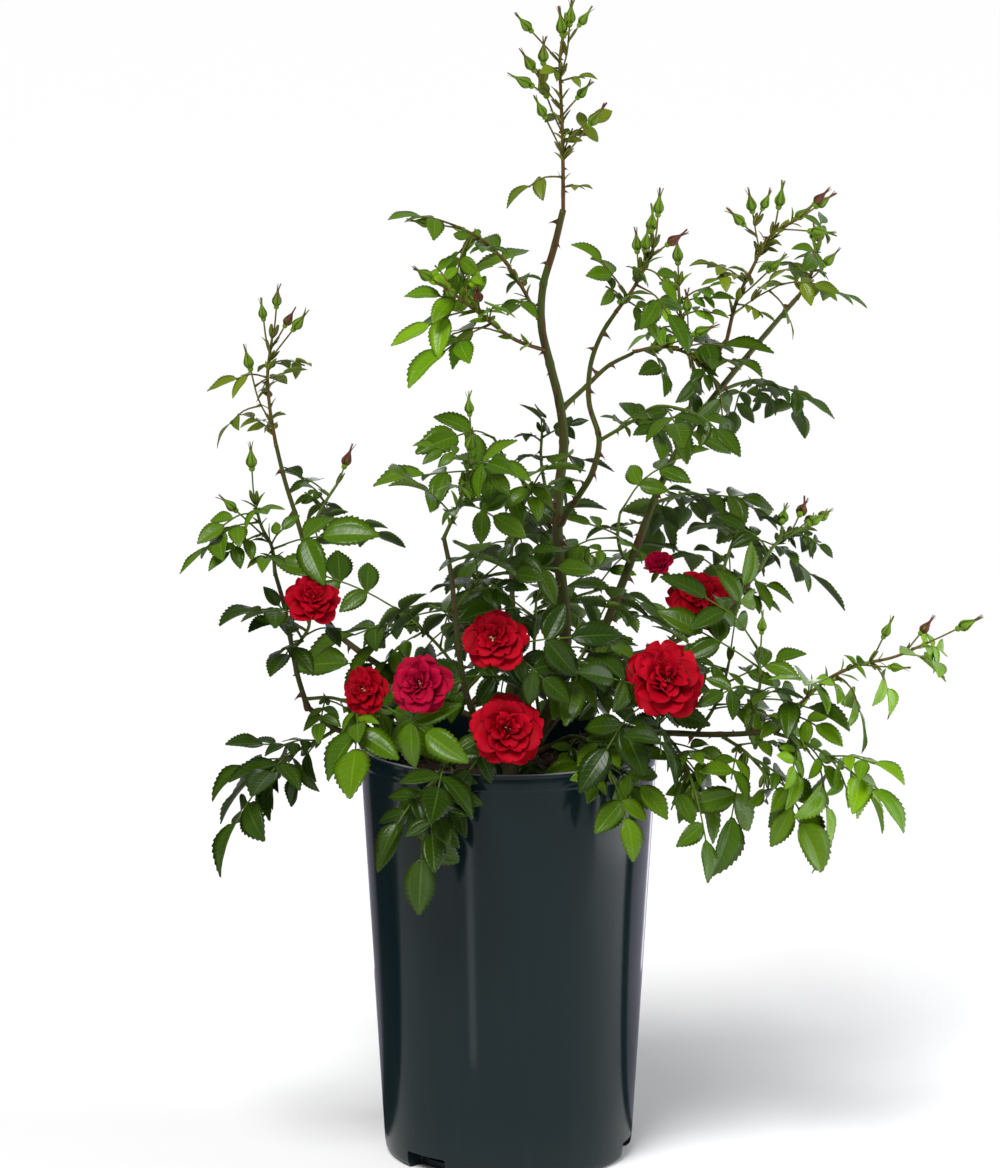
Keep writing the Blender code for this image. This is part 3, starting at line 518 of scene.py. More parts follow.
# %% Finish of the compost
earth = Finish("compost", (0.035, 0.022, 0.014), 0.95, 0.2)
grain = earth.noise(420, 5)
flecks = earth.noise(160, 2).between(0.60, 0.72)
dark = earth.mix(grain, (0.010, 0.006, 0.004), (0.075, 0.044, 0.026))
earth.paint({"Base Color": earth.mix(flecks, dark, (0.16, 0.10, 0.06))})
earth.relief(grain, 0.0012)
seat(compost_heap.made("compost_surface", earth), "compost", "soil")

# %% [markdown]
# ## The rule that grows the plant
# Every limb is an arc whose lean changes evenly, and every spray is a stem with organs dealt out
# along it: leaves, buds and blooms. It is the seeded rule that grew the solids, so the fine
# leaves here come out on the same stems, at the same places.

# %% Sizes of the rule
GAP = 0.0003            # clearance between neighbouring pieces
POT_SEGMENTS = 36
FOOT = np.array((0.003, 0.0, SOIL_TOP + GAP))  # where the main cane leaves the soil
FLARE_RADIUS = 0.0085   # root flare at the soil
FLARE_HEIGHT = 0.014    # the flare fades over this height
ARC_STEPS = 24          # steps in which a limb's bend is worked out
TRUNK_SIDES = 8
LIMB_SIDES = 6
RING_SPACING = 0.024    # length of cane between two rings of corners
STEM_SIDES = 3
STEM_SPACING = 0.022    # length of spray stem between two rings
STEM_RADIUS = 0.0014
TIP_RADIUS = 0.0009
STALK_RADII = np.array((0.0004, 0.0009, 0.0008))  # a stalk's start is sunk in what bears it
LEAF_THICKNESS = 0.0007
LEAF_WIDTH = 0.74       # leaflet's width for its length
LEAF_WIDEST = 0.45      # where along its length it is widest
LEAF_DISH = 0.16        # rise of its edges for its half width
ROOT_SINK = 0.0005      # how deep an end organ is set in its stalk
PETIOLE = (0.50, 0.80)  # bare part of a leaf's stalk for the size of its end leaflet
END_STALK = 0.34        # stalk between the end leaflet and the first pair
PAIR_SPACING = 0.46     # and from one pair to the next
PAIR_SIZE = 0.86        # first pair's size for the end leaflet's
PAIR_SHRINK = 0.13      # what each further pair loses
BUD_LENGTH = 0.013
BUD_RADIUS = 0.0032
ROUND_SIDES = 12        # corners that stand for a round limb where its room is tested
CLEAR_STEP = 0.0001     # steps in which a limb's start is drawn back from its bearer
CLEAR_REACH = 0.03      # and the most that it is drawn back
LIGHT = np.array((0.0, -0.45, 1.0))  # the blades turn this way, and out of the crown
BESIDE_STEMS = (0.31, 0.95, 0.05)    # directions from which a ring's corners are counted
BESIDE_BUDS = (0.31, 0.05, 0.95)
ATTEMPTS = 4            # tries that an organ has to find room
SIDES = {"R": 0, "B": 90, "L": 180, "F": 270, "r": 315, "l": 225, "b": 45, "d": 135}

# %% [markdown]
# The canes come first, because everything grows from them. A limb's leans are read in order: one
# of (52, 27, 45) sets off at 52 degrees from the vertical, straightens to 27, and ends at 45.

# %% The limbs
@dataclass
class Limb:
    """A cane: where it starts, the way it heads, its lean along its length, its size."""
    name: str
    bearer: str     # the limb it grows from, or "" for the soil
    at: float       # fraction of the bearer's length
    azimuth: float  # heading in degrees, anticlockwise from +X seen from above
    leans: tuple    # degrees from the vertical, evenly spaced along the limb
    length: float
    radius: float
    tip: float


LIMBS = (
    Limb("main_cane", "", 0, 0, (16, 35, 5, -7, -3, 10, -14, -14, 18, 11), 0.354, 0.0042, 0.0019),
    Limb("right_cane", "main_cane", 0.045, 30, (52, 27, 23, 45, 48), 0.332, 0.0031, 0.0014),
    Limb("left_cane", "main_cane", 0.075, 155, (79, 70, 65, 60, 9, 21, 13), 0.264, 0.0024, 0.0012),
    Limb("outer_cane", "main_cane", 0.03, 195, (58, 83, 84, 39), 0.140, 0.0022, 0.0016),
    Limb("front_cane", "main_cane", 0.055, 240, (60, 67, 18, 7, 24), 0.187, 0.0023, 0.0013),
    Limb("low_right_cane", "main_cane", 0.035, 340, (56, 81, 89, 78), 0.166, 0.0023, 0.0015),
    Limb("back_cane", "main_cane", 0.04, 95, (42, 34, 24), 0.130, 0.0024, 0.0014),
    Limb("inner_cane", "main_cane", 0.458, 305, (52, 39, 43, -40, 7, 36, 49), 0.164, 0.0020, 0.0012),
    Limb("cross_bough", "main_cane", 0.656, 50, (67, 62, 85), 0.073, 0.0016, 0.0011),
    Limb("upper_right_cane", "right_cane", 0.656, 5, (-6, 24, 46), 0.062, 0.0018, 0.0014),
    Limb("outer_top_cane", "outer_cane", 1, 235, (28, 12, 26), 0.091, 0.0016, 0.0012),
    Limb("bud_cane", "right_cane", 0.177, 5, (88, 74, 51, 34), 0.122, 0.0018, 0.0012),
)
print("metres of cane:", round(sum(limb.length for limb in LIMBS), 3))

# %% [markdown]
# One row says where a shoot starts and how it bends, and one short word per organ says what grows
# on it: "L3" is a leaf of three leaflets to the left, "Ub" a bud at the very tip.

# %% The sprays
@dataclass
class Spray:
    """One mass of foliage: a stem and what the rule sets on it.

    Each organ is a side and a kind. Sides: R, L, F and B for right, left, front and back, r and
    l for the front corners, b and d for the back corners, U for the stem's own tip. Kinds: 3, 5
    and 7 for a leaf of that many leaflets, b for a bud, c for a cluster of buds, t for a twig
    with two leaves and a bud, s for a twig with three leaves, f for a bloom.
    """
    name: str
    bearer: str
    at: float
    azimuth: float
    leans: tuple
    length: float
    organs: str
    seed: int
    leaf: float = 0.032  # length of an end leaflet
    bare: float = 0.22   # part of the stem that stays bare at its start
    blooms: tuple = ()   # diameters of its blooms, in order


SPRAYS = [Spray(f"{name}_spray", *row) for name, *row in (
    ("top", "main_cane", 1, 0, (0, -1, -4, 15), 0.112, "L3 R3 Lc Rc Lb Ub", 35, 0.022, 0.08),
    ("upper_left", "main_cane", 0.798, 210, (24, 38, 71), 0.090, "b3 L3 l3 U3", 20, 0.032, 0.2),
    ("left_bud", "main_cane", 0.759, 225, (78, 55, 59), 0.095, "B3 l3 L3 Fb Ub", 198, 0.035, 0.25),
    ("inner", "inner_cane", 1, 355, (40, 19), 0.042, "L3 R3 Lb Rb Ub", 278, 0.029, 0.1),
    ("cross", "cross_bough", 1, 345, (60, 100, 130), 0.050, "B3 L3 R3 U3", 37, 0.032, 0.1),
    ("lone_bud", "upper_right_cane", 0.45, 150, (26, 2), 0.060, "L3 R3 Ub", 187, 0.022, 0.4),
    ("upper_right", "upper_right_cane", 1, 340, (-3, 28, 23, 34, 79), 0.092, "Rs L3 Lc Rb Ub",
     37, 0.023, 0.05),
    ("right_tip", "right_cane", 1, 40, (50, 26, 7), 0.037, "R3 L3 F3 U3", 129, 0.024, 0.05),
    ("right_leaf", "right_cane", 0.75, 50, (80, 88, 125), 0.063, "r3 R3 U3", 134, 0.030),
    ("fork", "inner_cane", 0.42, 320, (65, 53, 106), 0.072, "R3 F3 U3", 351, 0.033),
    ("mid_left", "main_cane", 0.477, 230, (53, 53, 32), 0.080, "R3 L5 F3 U3", 369, 0.042),
    ("mid_back", "main_cane", 0.477, 120, (58, -15), 0.054, "R3 U3", 157, 0.024, 0.4),
    ("front_top", "front_cane", 1, 320, (31, 23, 2), 0.059, "L3 R3 F3 Ub", 67, 0.036, 0.1),
    ("front_arch", "front_cane", 0.75, 10, (40, 40, 85), 0.032, "L3 U3", 369, 0.042),
    ("left_top", "left_cane", 1, 165, (12, 4, -14), 0.065, "Lt Rt L3 Lb Ub", 35, 0.028, 0.05),
    ("left_side", "left_cane", 0.75, 50, (32, 51), 0.045, "R5 L3 Ub", 64, 0.028),
    ("outer_top", "outer_top_cane", 1, 220, (-7, 35, 10), 0.045, "R3 L5 Ub", 153, 0.032, 0.08),
    ("outer_bloom", "outer_top_cane", 0.42, 290, (61, 60, 5), 0.054, "Uf L3 R3", 348, 0.036, 0.22, (0.032,)),
    ("inner_left", "left_cane", 0.12, 155, (25, 27, 49, 56), 0.080, "L5 R3 F3 U5", 257, 0.044),
    ("left_rim", "outer_top_cane", 0.04, 325, (69, 99, 80), 0.055, "B3 F3 U3", 186, 0.042),
    ("low_left", "outer_cane", 0.83, 210, (120, 105, 124), 0.041, "B3 F3 U3", 48, 0.040),
    ("left_bloom", "front_cane", 0.5, 220, (107, 72), 0.031, "Uf Lf B3", 19, 0.036, 0.22, (0.037, 0.030)),
    ("centre_bloom", "front_cane", 0.46, 300, (61, 31), 0.049, "Uf R3 L3", 258, 0.048, 0.22, (0.037,)),
    ("front_bloom", "main_cane", 0.067, 262, (74, 72), 0.096, "Uf L3 R3", 100, 0.037, 0.4, (0.042,)),
    ("front_left", "front_cane", 0.17, 240, (66, 86, 108, 130, 150), 0.095, "F3 L3 U3", 1, 0.038, 0.5),
    ("front_right", "low_right_cane", 0.08, 295, (56, 76, 98, 135), 0.085, "L3 R3 U3", 28, 0.035, 0.4),
    ("centre", "main_cane", 0.106, 260, (25, 40, -10, -20), 0.086, "L5 R3 B3 U5", 373, 0.046),
    ("centre_right", "main_cane", 0.194, 305, (52, 50, 23), 0.052, "R3 F3 U3", 130, 0.047),
    ("right_inner", "right_cane", 0.38, 240, (75, 23, -28), 0.040, "L3 U5", 368, 0.037),
    ("right_bloom", "low_right_cane", 0.5, 275, (63, 39), 0.064, "Uf L3 R3", 100, 0.053, 0.22, (0.048,)),
    ("bloom_pair", "bud_cane", 0.38, 340, (31, 43), 0.033, "Uf Lf R5", 162, 0.040, 0.22, (0.040, 0.020)),
    ("bud", "bud_cane", 1, 40, (30, 92), 0.044, "L3 Rb Lb Ub", 122, 0.025, 0.1),
    ("bud_leaf", "bud_cane", 0.67, 65, (3, 43, 52), 0.065, "L3 B3 R5 U3", 29, 0.036),
    ("arch", "low_right_cane", 1, 350, (35, 46, 79, 59), 0.105, "L3 R3 Lb F3 Ub", 12, 0.034, 0.15),
    ("low_right", "low_right_cane", 0.96, 325, (96, 100, 118), 0.045, "B3 R3 U3", 24, 0.040),
    ("right_curl", "low_right_cane", 0.88, 300, (14, 30, 5, -30), 0.056, "R3 L3 U3", 119, 0.041),
    ("right_arch", "right_cane", 0.5, 50, (88, 85, 118), 0.054, "B3 R3 U5", 389, 0.042),
    ("hanging_right", "low_right_cane", 0.75, 325, (100, 122, 139), 0.044, "L3 R3 U3", 352, 0.040),
    ("rim_right", "low_right_cane", 0.54, 290, (96, 112, 140), 0.055, "R3 L3 U3", 392, 0.035),
    ("right_fill", "low_right_cane", 0.67, 40, (55, 11), 0.050, "R3 L3 U5", 16, 0.036),
    ("back_top", "back_cane", 1, 80, (30, 60), 0.050, "L3 R3 B3 U3", 34, 0.038, 0.1),
    ("back_left", "back_cane", 0.5, 140, (62, 72, 84), 0.075, "R3 L3 B3 U3", 25, 0.039),
    ("back_right", "back_cane", 0.6, 40, (60, 74, 88), 0.075, "L3 R3 B3 U3", 42, 0.039),
    ("back_low", "back_cane", 0.3, 95, (76, 92, 118), 0.090, "L5 R5 U5", 8, 0.038, 0.45),
)]
print(len(SPRAYS), "sprays with", sum(len(spray.organs.split()) for spray in SPRAYS), "organs")

# %% [markdown]
# A limb's path is many short steps, each leaning a little more or less than the one before. Small
# helpers measure it, space its points evenly, and find a point and a direction on it.

# %% Vectors and paths
def unit(vector):
    """One vector cut to length one, exactly as the rule for the solids cuts it."""
    return vector / np.linalg.norm(vector)


def square_to(way):
    """Two directions square to a way and to each other."""
    across = unit(np.cross(way, BESIDE_BUDS))
    return across, np.cross(way, across)


def turned_about(vector, axis, degrees):
    """The vector turned about a unit axis."""
    angle = math.radians(degrees)
    return (vector * math.cos(angle) + np.cross(axis, vector) * math.sin(angle)
            + axis * np.dot(axis, vector) * (1 - math.cos(angle)))


def spokes(first, second, turn):
    """Directions round an axis: the cosine and sine of each turn along two directions square to it."""
    return first * np.cos(turn)[..., None] + second * np.sin(turn)[..., None]


def arc(start, azimuth, leans, length):
    """Points of a limb whose lean from the vertical changes evenly along its length."""
    along = (np.arange(ARC_STEPS) + 0.5) / ARC_STEPS
    lean = np.radians(np.interp(along, np.linspace(0, 1, len(leans)), leans))
    heading = math.radians(azimuth)
    east, north = np.sin(lean) * math.cos(heading), np.sin(lean) * math.sin(heading)
    way = np.stack([east, north, np.cos(lean)], 1)
    return np.vstack([start, start + np.cumsum(way * length / ARC_STEPS, axis=0)])


def travelled(points):
    """Distance along a path at each of its points."""
    return np.concatenate([[0], np.cumsum(np.linalg.norm(np.diff(points, axis=0), axis=1))])


def evenly(points, start, count):
    """The path from a distance along it to its end, as so many evenly spaced points."""
    distance = travelled(points)
    wanted = np.linspace(start, distance[-1], count)
    return np.stack([np.interp(wanted, distance, points[:, k]) for k in range(3)], 1)


def place_on(points, fraction):
    """Point and direction at a fraction of a path's length."""
    distance = travelled(points)
    wanted = fraction * distance[-1]
    point = np.array([np.interp(wanted, distance, points[:, k]) for k in range(3)])
    index = min(np.searchsorted(distance, wanted, side="right"), len(points) - 1)
    return point, unit(points[index] - points[index - 1])


print("the main cane ends at", arc(FOOT, 0, LIMBS[0].leans, LIMBS[0].length)[-1].round(3))

# %% [markdown]
# To test whether an organ has room, the rule needs plain closed solids: the tubes, leaflets and
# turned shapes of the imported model. They are never shown here.

# %% Tubes
def tube(points, radii, sides):
    """Closed tube: a ring of corners round each point and a flat cap at each end."""
    tangents = np.gradient(points, axis=0)
    across = unit(np.cross(tangents[0], BESIDE_STEMS))
    turn = np.arange(sides) * math.tau / sides
    rings = []
    for point, tangent, radius in zip(points, tangents, radii):
        tangent = unit(tangent)
        across = unit(across - tangent * np.dot(across, tangent))
        rings.append(point + radius * spokes(across, np.cross(tangent, across), turn))
    faces = [face for group, _ in tube_faces(len(points), sides) for face in group.tolist()]
    return np.concatenate(rings), faces

# %% [markdown]
# Leaflets, buds and blooms get as few faces as still say how much room each takes.

# %% Leaflets, buds and blooms as plain solids
def leaf_solid(root, way, normal, length, extra=0.0):
    """Leaflet of eight faces: a blunt root, a fold along the midrib and a pointed end."""
    half_width = length * LEAF_WIDTH / 2 + extra
    half_thickness = LEAF_THICKNESS / 2 + extra
    side = np.cross(normal, way)
    middle = root + way * length * LEAF_WIDEST
    lift = normal * half_width * LEAF_DISH
    corners = np.array([
        root + normal * half_thickness,
        root - normal * half_thickness,
        middle + side * half_width + lift,
        middle - side * half_width + lift,
        middle + normal * half_thickness,
        root + way * (length + extra) - normal * (half_thickness + 0.04 * length),
    ])
    faces = [(0, 4, 2), (2, 4, 5), (5, 4, 3), (3, 4, 0), (0, 2, 1), (0, 1, 3), (1, 2, 5), (1, 5, 3)]
    return corners, faces


def turned_bud(root, way, profile, sides):
    """Closed solid of revolution along a direction: its profile starts and ends on the axis."""
    ring = spokes(*square_to(way), np.arange(sides) * math.tau / sides)
    rings = [root + way * height + ring * radius for height, radius in profile[1:-1]]
    corners = np.vstack([root + way * profile[0][0], *rings, root + way * profile[-1][0]])
    faces = (grid_faces(len(rings), sides, wrap=True, flip=True) + 1).tolist()
    last = len(corners) - 1
    for side in range(sides):
        after = (side + 1) % sides
        faces += [(0, 1 + after, 1 + side), (last - sides + side, last - sides + after, last)]
    return corners, faces


def bud_solid(root, way, length, extra=0.0):
    """Pointed oval bud."""
    radius = BUD_RADIUS * length / BUD_LENGTH + extra
    low, high = (0.22 * length, radius), (0.52 * length, radius * 0.8)
    profile = ((-ROOT_SINK, 0), low, high, (length + extra, 0))
    return turned_bud(root, way, profile, 4)


def bloom_solid(root, way, diameter, extra=0.0):
    """Open bloom: a shallow cup, widest at half its height, dished round its middle."""
    radius = diameter / 2 + extra
    profile = ((-ROOT_SINK - extra, 0), (0.16 * radius, 0.60 * radius), (0.48 * radius, radius),
               (0.66 * radius, 0.70 * radius), (0.46 * radius + extra, 0))
    return turned_bud(root, way, profile, 8)


def solid_of(piece, extra=0.0):
    """The closed solid of one piece, swollen by an extra thickness."""
    kind, *rest = piece
    if kind in ("stem", "stalk"):
        return tube(rest[0], rest[1] + extra, STEM_SIDES)
    return {"leaf": leaf_solid, "bud": bud_solid, "bloom": bloom_solid}[kind](*rest, extra=extra)


print("a bud has", len(bud_solid(FOOT, unit(FOOT), BUD_LENGTH)[1]), "faces")

# %% [markdown]
# A physics engine wants a hair's breadth of air between two pieces, so each limb's start is drawn
# back along its own path, in tiny steps, until it stands one gap clear of its bearer.

# %% Limbs that start clear of what bears them
def beside_limb(points, radii, corners):
    """Least distance from the corners to a limb's surface, its rings taken as round."""
    least = math.inf
    for start, end, low, high in zip(points, points[1:], radii, radii[1:]):
        run = end - start
        share = np.clip((corners - start) @ run / (run @ run), 0, 1)
        distance = np.linalg.norm(corners - start - share[:, None] * run, axis=1)
        least = min(least, np.min(distance - (low + (high - low) * share)))
    return least


def grown_from(bearer, at, path, thick, thin, count):
    """Axis points and radii of a limb, its start trimmed to stand one gap clear of its bearer."""
    points, radii = bearer
    tip, tip_way = place_on(points, 1)
    child_radii = np.linspace(thick, thin, count)
    for distance in np.arange(0, CLEAR_REACH, CLEAR_STEP):
        child = evenly(path, distance, count)
        rings = tube(child, child_radii, ROUND_SIDES)[0]
        if at == 1:
            clearance = np.min((rings[:ROUND_SIDES] - tip) @ tip_way)
        else:
            clearance = beside_limb(points, radii, rings)
        if clearance >= GAP:
            return child, child_radii
    raise ValueError("a limb never leaves its bearer")


def main_shape(limb):
    """Axis points and radii of the cane that stands on the soil, with its root flare."""
    path = arc(FOOT, limb.azimuth, limb.leans, limb.length)
    points = evenly(path, 0, round(limb.length / RING_SPACING) + 1)
    points = np.vstack([points[0], place_on(path, FLARE_HEIGHT / limb.length)[0], points[1:]])
    radii = np.interp(travelled(points), (0, limb.length), (limb.radius, limb.tip))
    radii[0] = FLARE_RADIUS
    radii[1] = limb.radius * 1.12
    return points, radii


def limb_shapes():
    """Axis points and radii of every limb, by name."""
    shapes = {LIMBS[0].name: main_shape(LIMBS[0])}
    for limb in LIMBS[1:]:
        bearer = shapes[limb.bearer]
        path = arc(place_on(bearer[0], limb.at)[0], limb.azimuth, limb.leans, limb.length)
        count = max(4, round(limb.length / RING_SPACING) + 1)
        shapes[limb.name] = grown_from(bearer, limb.at, path, limb.radius, limb.tip, count)
    return shapes


def stands_on_soil(points):
    """True for the main cane alone."""
    return points[0][2] <= FOOT[2] + 1e-9


def limb_solid(shape):
    """A limb's tube. The main cane's first ring lies flat on the soil."""
    points, radii = shape
    if not stands_on_soil(points):
        return tube(points, radii, LIMB_SIDES)
    corners, faces = tube(points, radii, TRUNK_SIDES)
    corners[:TRUNK_SIDES, 2] = FOOT[2]
    return corners, faces


limbs = limb_shapes()
print("rings of each limb:", {name: len(radii) for name, (points, radii) in limbs.items()})

# %% [markdown]
# An organ leaves its stem towards a named side, with a little chance. A stalk sinks under its own
# weight, and a blade turns its face to the light: enough for leaves that look grown.

# %% Directions and stalks
def side_way(stem_way, side, opening, rng):
    """Direction that leaves the stem towards a named side, by so many degrees."""
    if side == "U":
        heading = rng.uniform(0, 360)
        opening = rng.uniform(0, 12)
    else:
        heading = SIDES[side] + rng.uniform(-32, 32)
    heading = math.radians(heading)
    outward = np.array((math.cos(heading), math.sin(heading), 0.0))
    outward = outward - stem_way * np.dot(outward, stem_way)
    if np.linalg.norm(outward) < 0.35:
        outward = np.array((0, 0, 1.0)) - stem_way * stem_way[2]
    opening = math.radians(opening)
    return unit(stem_way * math.cos(opening) + unit(outward) * math.sin(opening))


def drooping(start, way, length, droop, count):
    """Points of a stalk that bends down by so many degrees over its length."""
    points = [start]
    for _ in range(count):
        level = unit(np.array((way[0], way[1], 0.0)) + 1e-6)
        lean = math.degrees(math.acos(np.clip(way[2], -1, 1)))
        lean = math.radians(min(lean + droop / count, 172))
        way = level * math.sin(lean) + np.array((0, 0, math.cos(lean)))
        points.append(points[-1] + way * length / count)
    return np.array(points)


def facing_light(way, root, roll):
    """Normal of a blade along a direction, facing the light and out of the crown, then rolled."""
    outward = np.array((root[0], root[1], 0.0)) / POT_RIM_RADIUS
    light = LIGHT + outward * min(1.0, 0.6 / max(np.linalg.norm(outward), 1e-6))
    normal = light - way * np.dot(light, way)
    return turned_about(unit(normal), way, roll)


def stalk_with(base, way, length, rng, bend=(-25, 5)):
    """A thin stalk that curls up a little, and its end."""
    points = drooping(base, way, length, rng.uniform(*bend), 2)
    end, end_way = place_on(points, 1)
    return [("stalk", points, STALK_RADII)], points, end, end_way

# %% [markdown]
# A rose leaf is compound: three, five or seven leaflets, in pairs below a larger end leaflet. Each
# piece is a short tuple of kind, place, directions and size, which the fine surface is made from.

# %% A leaf
def compound_leaf(base, way, count, size, rng):
    """A leaf: its drooping stalk, then the end leaflet and the pairs beside the stalk."""
    pairs = (count - 1) // 2
    spacing = PAIR_SPACING * size
    petiole = size * rng.uniform(*PETIOLE)
    length = petiole + spacing * (pairs - 1) + END_STALK * size
    points = drooping(base, way, length, rng.uniform(10, 60), 2)
    roll = rng.uniform(-28, 28)
    pieces = [("stalk", points, STALK_RADII)]
    end, end_way = place_on(points, 1)
    normal = facing_light(end_way, end, roll)
    pieces.append(("leaf", end - end_way * ROOT_SINK, end_way, normal, size))
    for pair in range(pairs):
        distance = length - END_STALK * size - pair * spacing
        root, root_way = place_on(points, distance / length)
        normal = facing_light(root_way, root, roll)
        share = PAIR_SIZE - PAIR_SHRINK * pair
        for hand in (1, -1):
            leaflet_way = turned_about(root_way, normal, hand * rng.uniform(52, 68))
            leaflet_way = unit(leaflet_way - normal * rng.uniform(0.05, 0.30))
            leaflet_normal = unit(normal - leaflet_way * np.dot(normal, leaflet_way))
            length_here = size * share * rng.uniform(0.92, 1.05)
            pieces.append(("leaf", root, leaflet_way, leaflet_normal, length_here))
    return pieces


print("pieces of a leaf of five:", len(compound_leaf(FOOT, unit(FOOT), 5, 0.03, Random(1))))

# %% [markdown]
# A bud stands alone, in a cluster or at the end of a leafy twig. A bloom faces out and up.

# %% Buds, twigs and blooms
FORK_AXIS = unit(np.array((0.1, -1, 0.1)))  # side shoots fork about this axis, across the view


def bud(base, way, rng, length=None):
    """One bud on its stalk."""
    length = length or rng.uniform(0.010, 0.020)
    pieces, _, end, end_way = stalk_with(base, way, length, rng)
    pieces.append(("bud", end, end_way, BUD_LENGTH * rng.uniform(0.85, 1.1)))
    return pieces


def bud_cluster(base, way, rng):
    """A side shoot that ends in a bud, with one more bud on each side below it."""
    pieces, points, end, end_way = stalk_with(base, way, rng.uniform(0.026, 0.034), rng)
    pieces.append(("bud", end, end_way, BUD_LENGTH))
    for place, turn in ((0.45, 38), (0.72, -38)):
        root, root_way = place_on(points, place)
        branch = turned_about(root_way, FORK_AXIS, turn + rng.uniform(-12, 12))
        pieces += bud(root, branch, rng, 0.010)
    return pieces


def leafy_twig(base, way, size, rng, with_bud):
    """A side twig with two small leaves, ending in a bud or in a third leaf."""
    pieces, points, end, end_way = stalk_with(base, way, rng.uniform(0.034, 0.046), rng, (-30, 20))
    for place, hand in ((0.4, 1), (0.75, -1)):
        root, root_way = place_on(points, place)
        branch = turned_about(root_way, FORK_AXIS, hand * rng.uniform(35, 60))
        pieces += compound_leaf(root, branch, 3, size * 0.75, rng)
    if with_bud:
        pieces.append(("bud", end, end_way, BUD_LENGTH))
    else:
        pieces += compound_leaf(end - end_way * 0.001, end_way, 3, size * 0.85, rng)
    return pieces


def bloom(base, way, side, diameter, rng):
    """A bloom that faces out and up, on its stalk unless it ends the stem."""
    pieces = []
    end = base
    if side != "U":
        pieces, _, end, way = stalk_with(base, way, 0.5 * diameter + 0.024, rng)
    facing = unit(np.array((rng.uniform(-0.25, 0.25), -0.80, rng.uniform(0.35, 0.65))) + 0.3 * way)
    pieces.append(("bloom", end, facing, diameter))
    return pieces


def organ_pieces(stem, fraction, side, kind, spray, diameter, rng):
    """Everything that one organ is made of."""
    base, stem_way = place_on(stem, fraction)
    size = spray.leaf * (1.08 - 0.18 * fraction) * rng.uniform(0.88, 1.1)
    if kind in "357":
        way = side_way(stem_way, side, rng.uniform(42, 62), rng)
        return compound_leaf(base, way, int(kind), size, rng)
    way = side_way(stem_way, side, rng.uniform(26, 44) * (2 if kind == "f" else 1), rng)
    if kind == "b":
        return bud(base, way, rng)
    if kind == "c":
        return bud_cluster(base, way, rng)
    if kind == "f":
        return bloom(base, way, side, diameter, rng)
    return leafy_twig(base, way, size, rng, kind == "t")

# %% [markdown]
# Whether two organs touch is a question for a search tree, which sorts faces into nested boxes, so
# that a test looks at few of them. An organ is swollen by one gap before the test.

# %% Keeping clear of the neighbours
def search_tree(solids):
    """One search tree over many solids."""
    corners, faces, offset = [], [], 0
    for solid_corners, solid_faces in solids:
        corners.extend(map(tuple, solid_corners))
        faces.extend(tuple(index + offset for index in face) for face in solid_faces)
        offset += len(solid_corners)
    return BVHTree.FromPolygons(corners, faces, epsilon=0.0)


def outside_the_pot(corners):
    """True where no corner lies in the pot, its soil or the ground."""
    spread = np.hypot(corners[:, 0], corners[:, 1])
    in_pot = (spread < POT_RIM_RADIUS + 0.001) & (corners[:, 2] < POT_HEIGHT + 0.001)
    over_soil = (spread < POT_RIM_RADIUS - POT_WALL - 0.004) & (corners[:, 2] > SOIL_TOP + 0.001)
    hanging = spread > outer_radius(corners[:, 2]) + 0.0015
    return bool(np.all(~in_pot | over_soil | hanging) and np.all(corners[:, 2] > 0.02))


def filled_pot():
    """Outline of the pot with its soil, as a closed solid that the plant keeps clear of."""
    inner = outer_radius(SOIL_TOP) - POT_WALL
    rim = POT_RIM_RADIUS
    profile = ((0, 0), (0, POT_FOOT_RADIUS), (POT_HEIGHT - POT_COLLAR, rim), (POT_HEIGHT, rim),
               (POT_HEIGHT, rim - POT_WALL), (SOIL_TOP, inner), (SOIL_TOP, 0))
    return turned_bud(np.zeros(3), np.array((0, 0, 1.0)), profile, POT_SEGMENTS)


def fits(piece, others, own, stem_tree):
    """True where a piece touches no other spray, limb or pot and no leaf of its own spray."""
    solid = solid_of(piece, GAP)
    if not outside_the_pot(solid[0]):
        return False
    tree = search_tree([solid])
    if tree.overlap(others) or own and tree.overlap(own):
        return False
    return piece[0] != "leaf" or not tree.overlap(stem_tree)

# %% [markdown]
# Each organ has a few attempts, and the fullest one stays. The sprays that bear blooms come before
# all others, so that the blooms find room.

# %% Growing one spray, and then the plant
def stem_shape(spray, limbs):
    """Axis points and radii of a spray's stem."""
    bearer = limbs[spray.bearer]
    path = arc(place_on(bearer[0], spray.at)[0], spray.azimuth, spray.leans, spray.length)
    count = max(4, round(spray.length / STEM_SPACING) + 1)
    return grown_from(bearer, spray.at, path, STEM_RADIUS, TIP_RADIUS, count)


def grow(spray, stem, others):
    """The stem and every organ of a spray that finds room, as pieces."""
    rng = Random(f"{spray.name} {spray.seed}")
    names = spray.organs.split()
    blooms = list(spray.blooms)
    stem_tree = search_tree([solid_of(("stem", *stem), GAP)])
    pieces = [("stem", *stem)]
    sites = sum(name[0] != "U" for name in names)
    for index, (side, kind) in enumerate(names):
        fraction = 1.0 if side == "U" else spray.bare + (0.96 - spray.bare) * (index + 0.5) / sites
        diameter = blooms.pop(0) if kind == "f" else 0
        own = search_tree([solid_of(piece) for piece in pieces[1:]]) if len(pieces) > 1 else None
        best = []
        for _ in range(ATTEMPTS):
            wanted = organ_pieces(stem[0], fraction, side, kind, spray, diameter, rng)
            kept = [piece for piece in wanted if fits(piece, others, own, stem_tree)]
            lost = [piece for piece in wanted if not any(piece is other for other in kept)]
            bare = all(piece[0] == "stalk" for piece in kept)
            if not bare and all(piece[0] == "leaf" for piece in lost) and len(kept) > len(best):
                best = kept
            if len(best) == len(wanted):
                break
        pieces += best
    return pieces


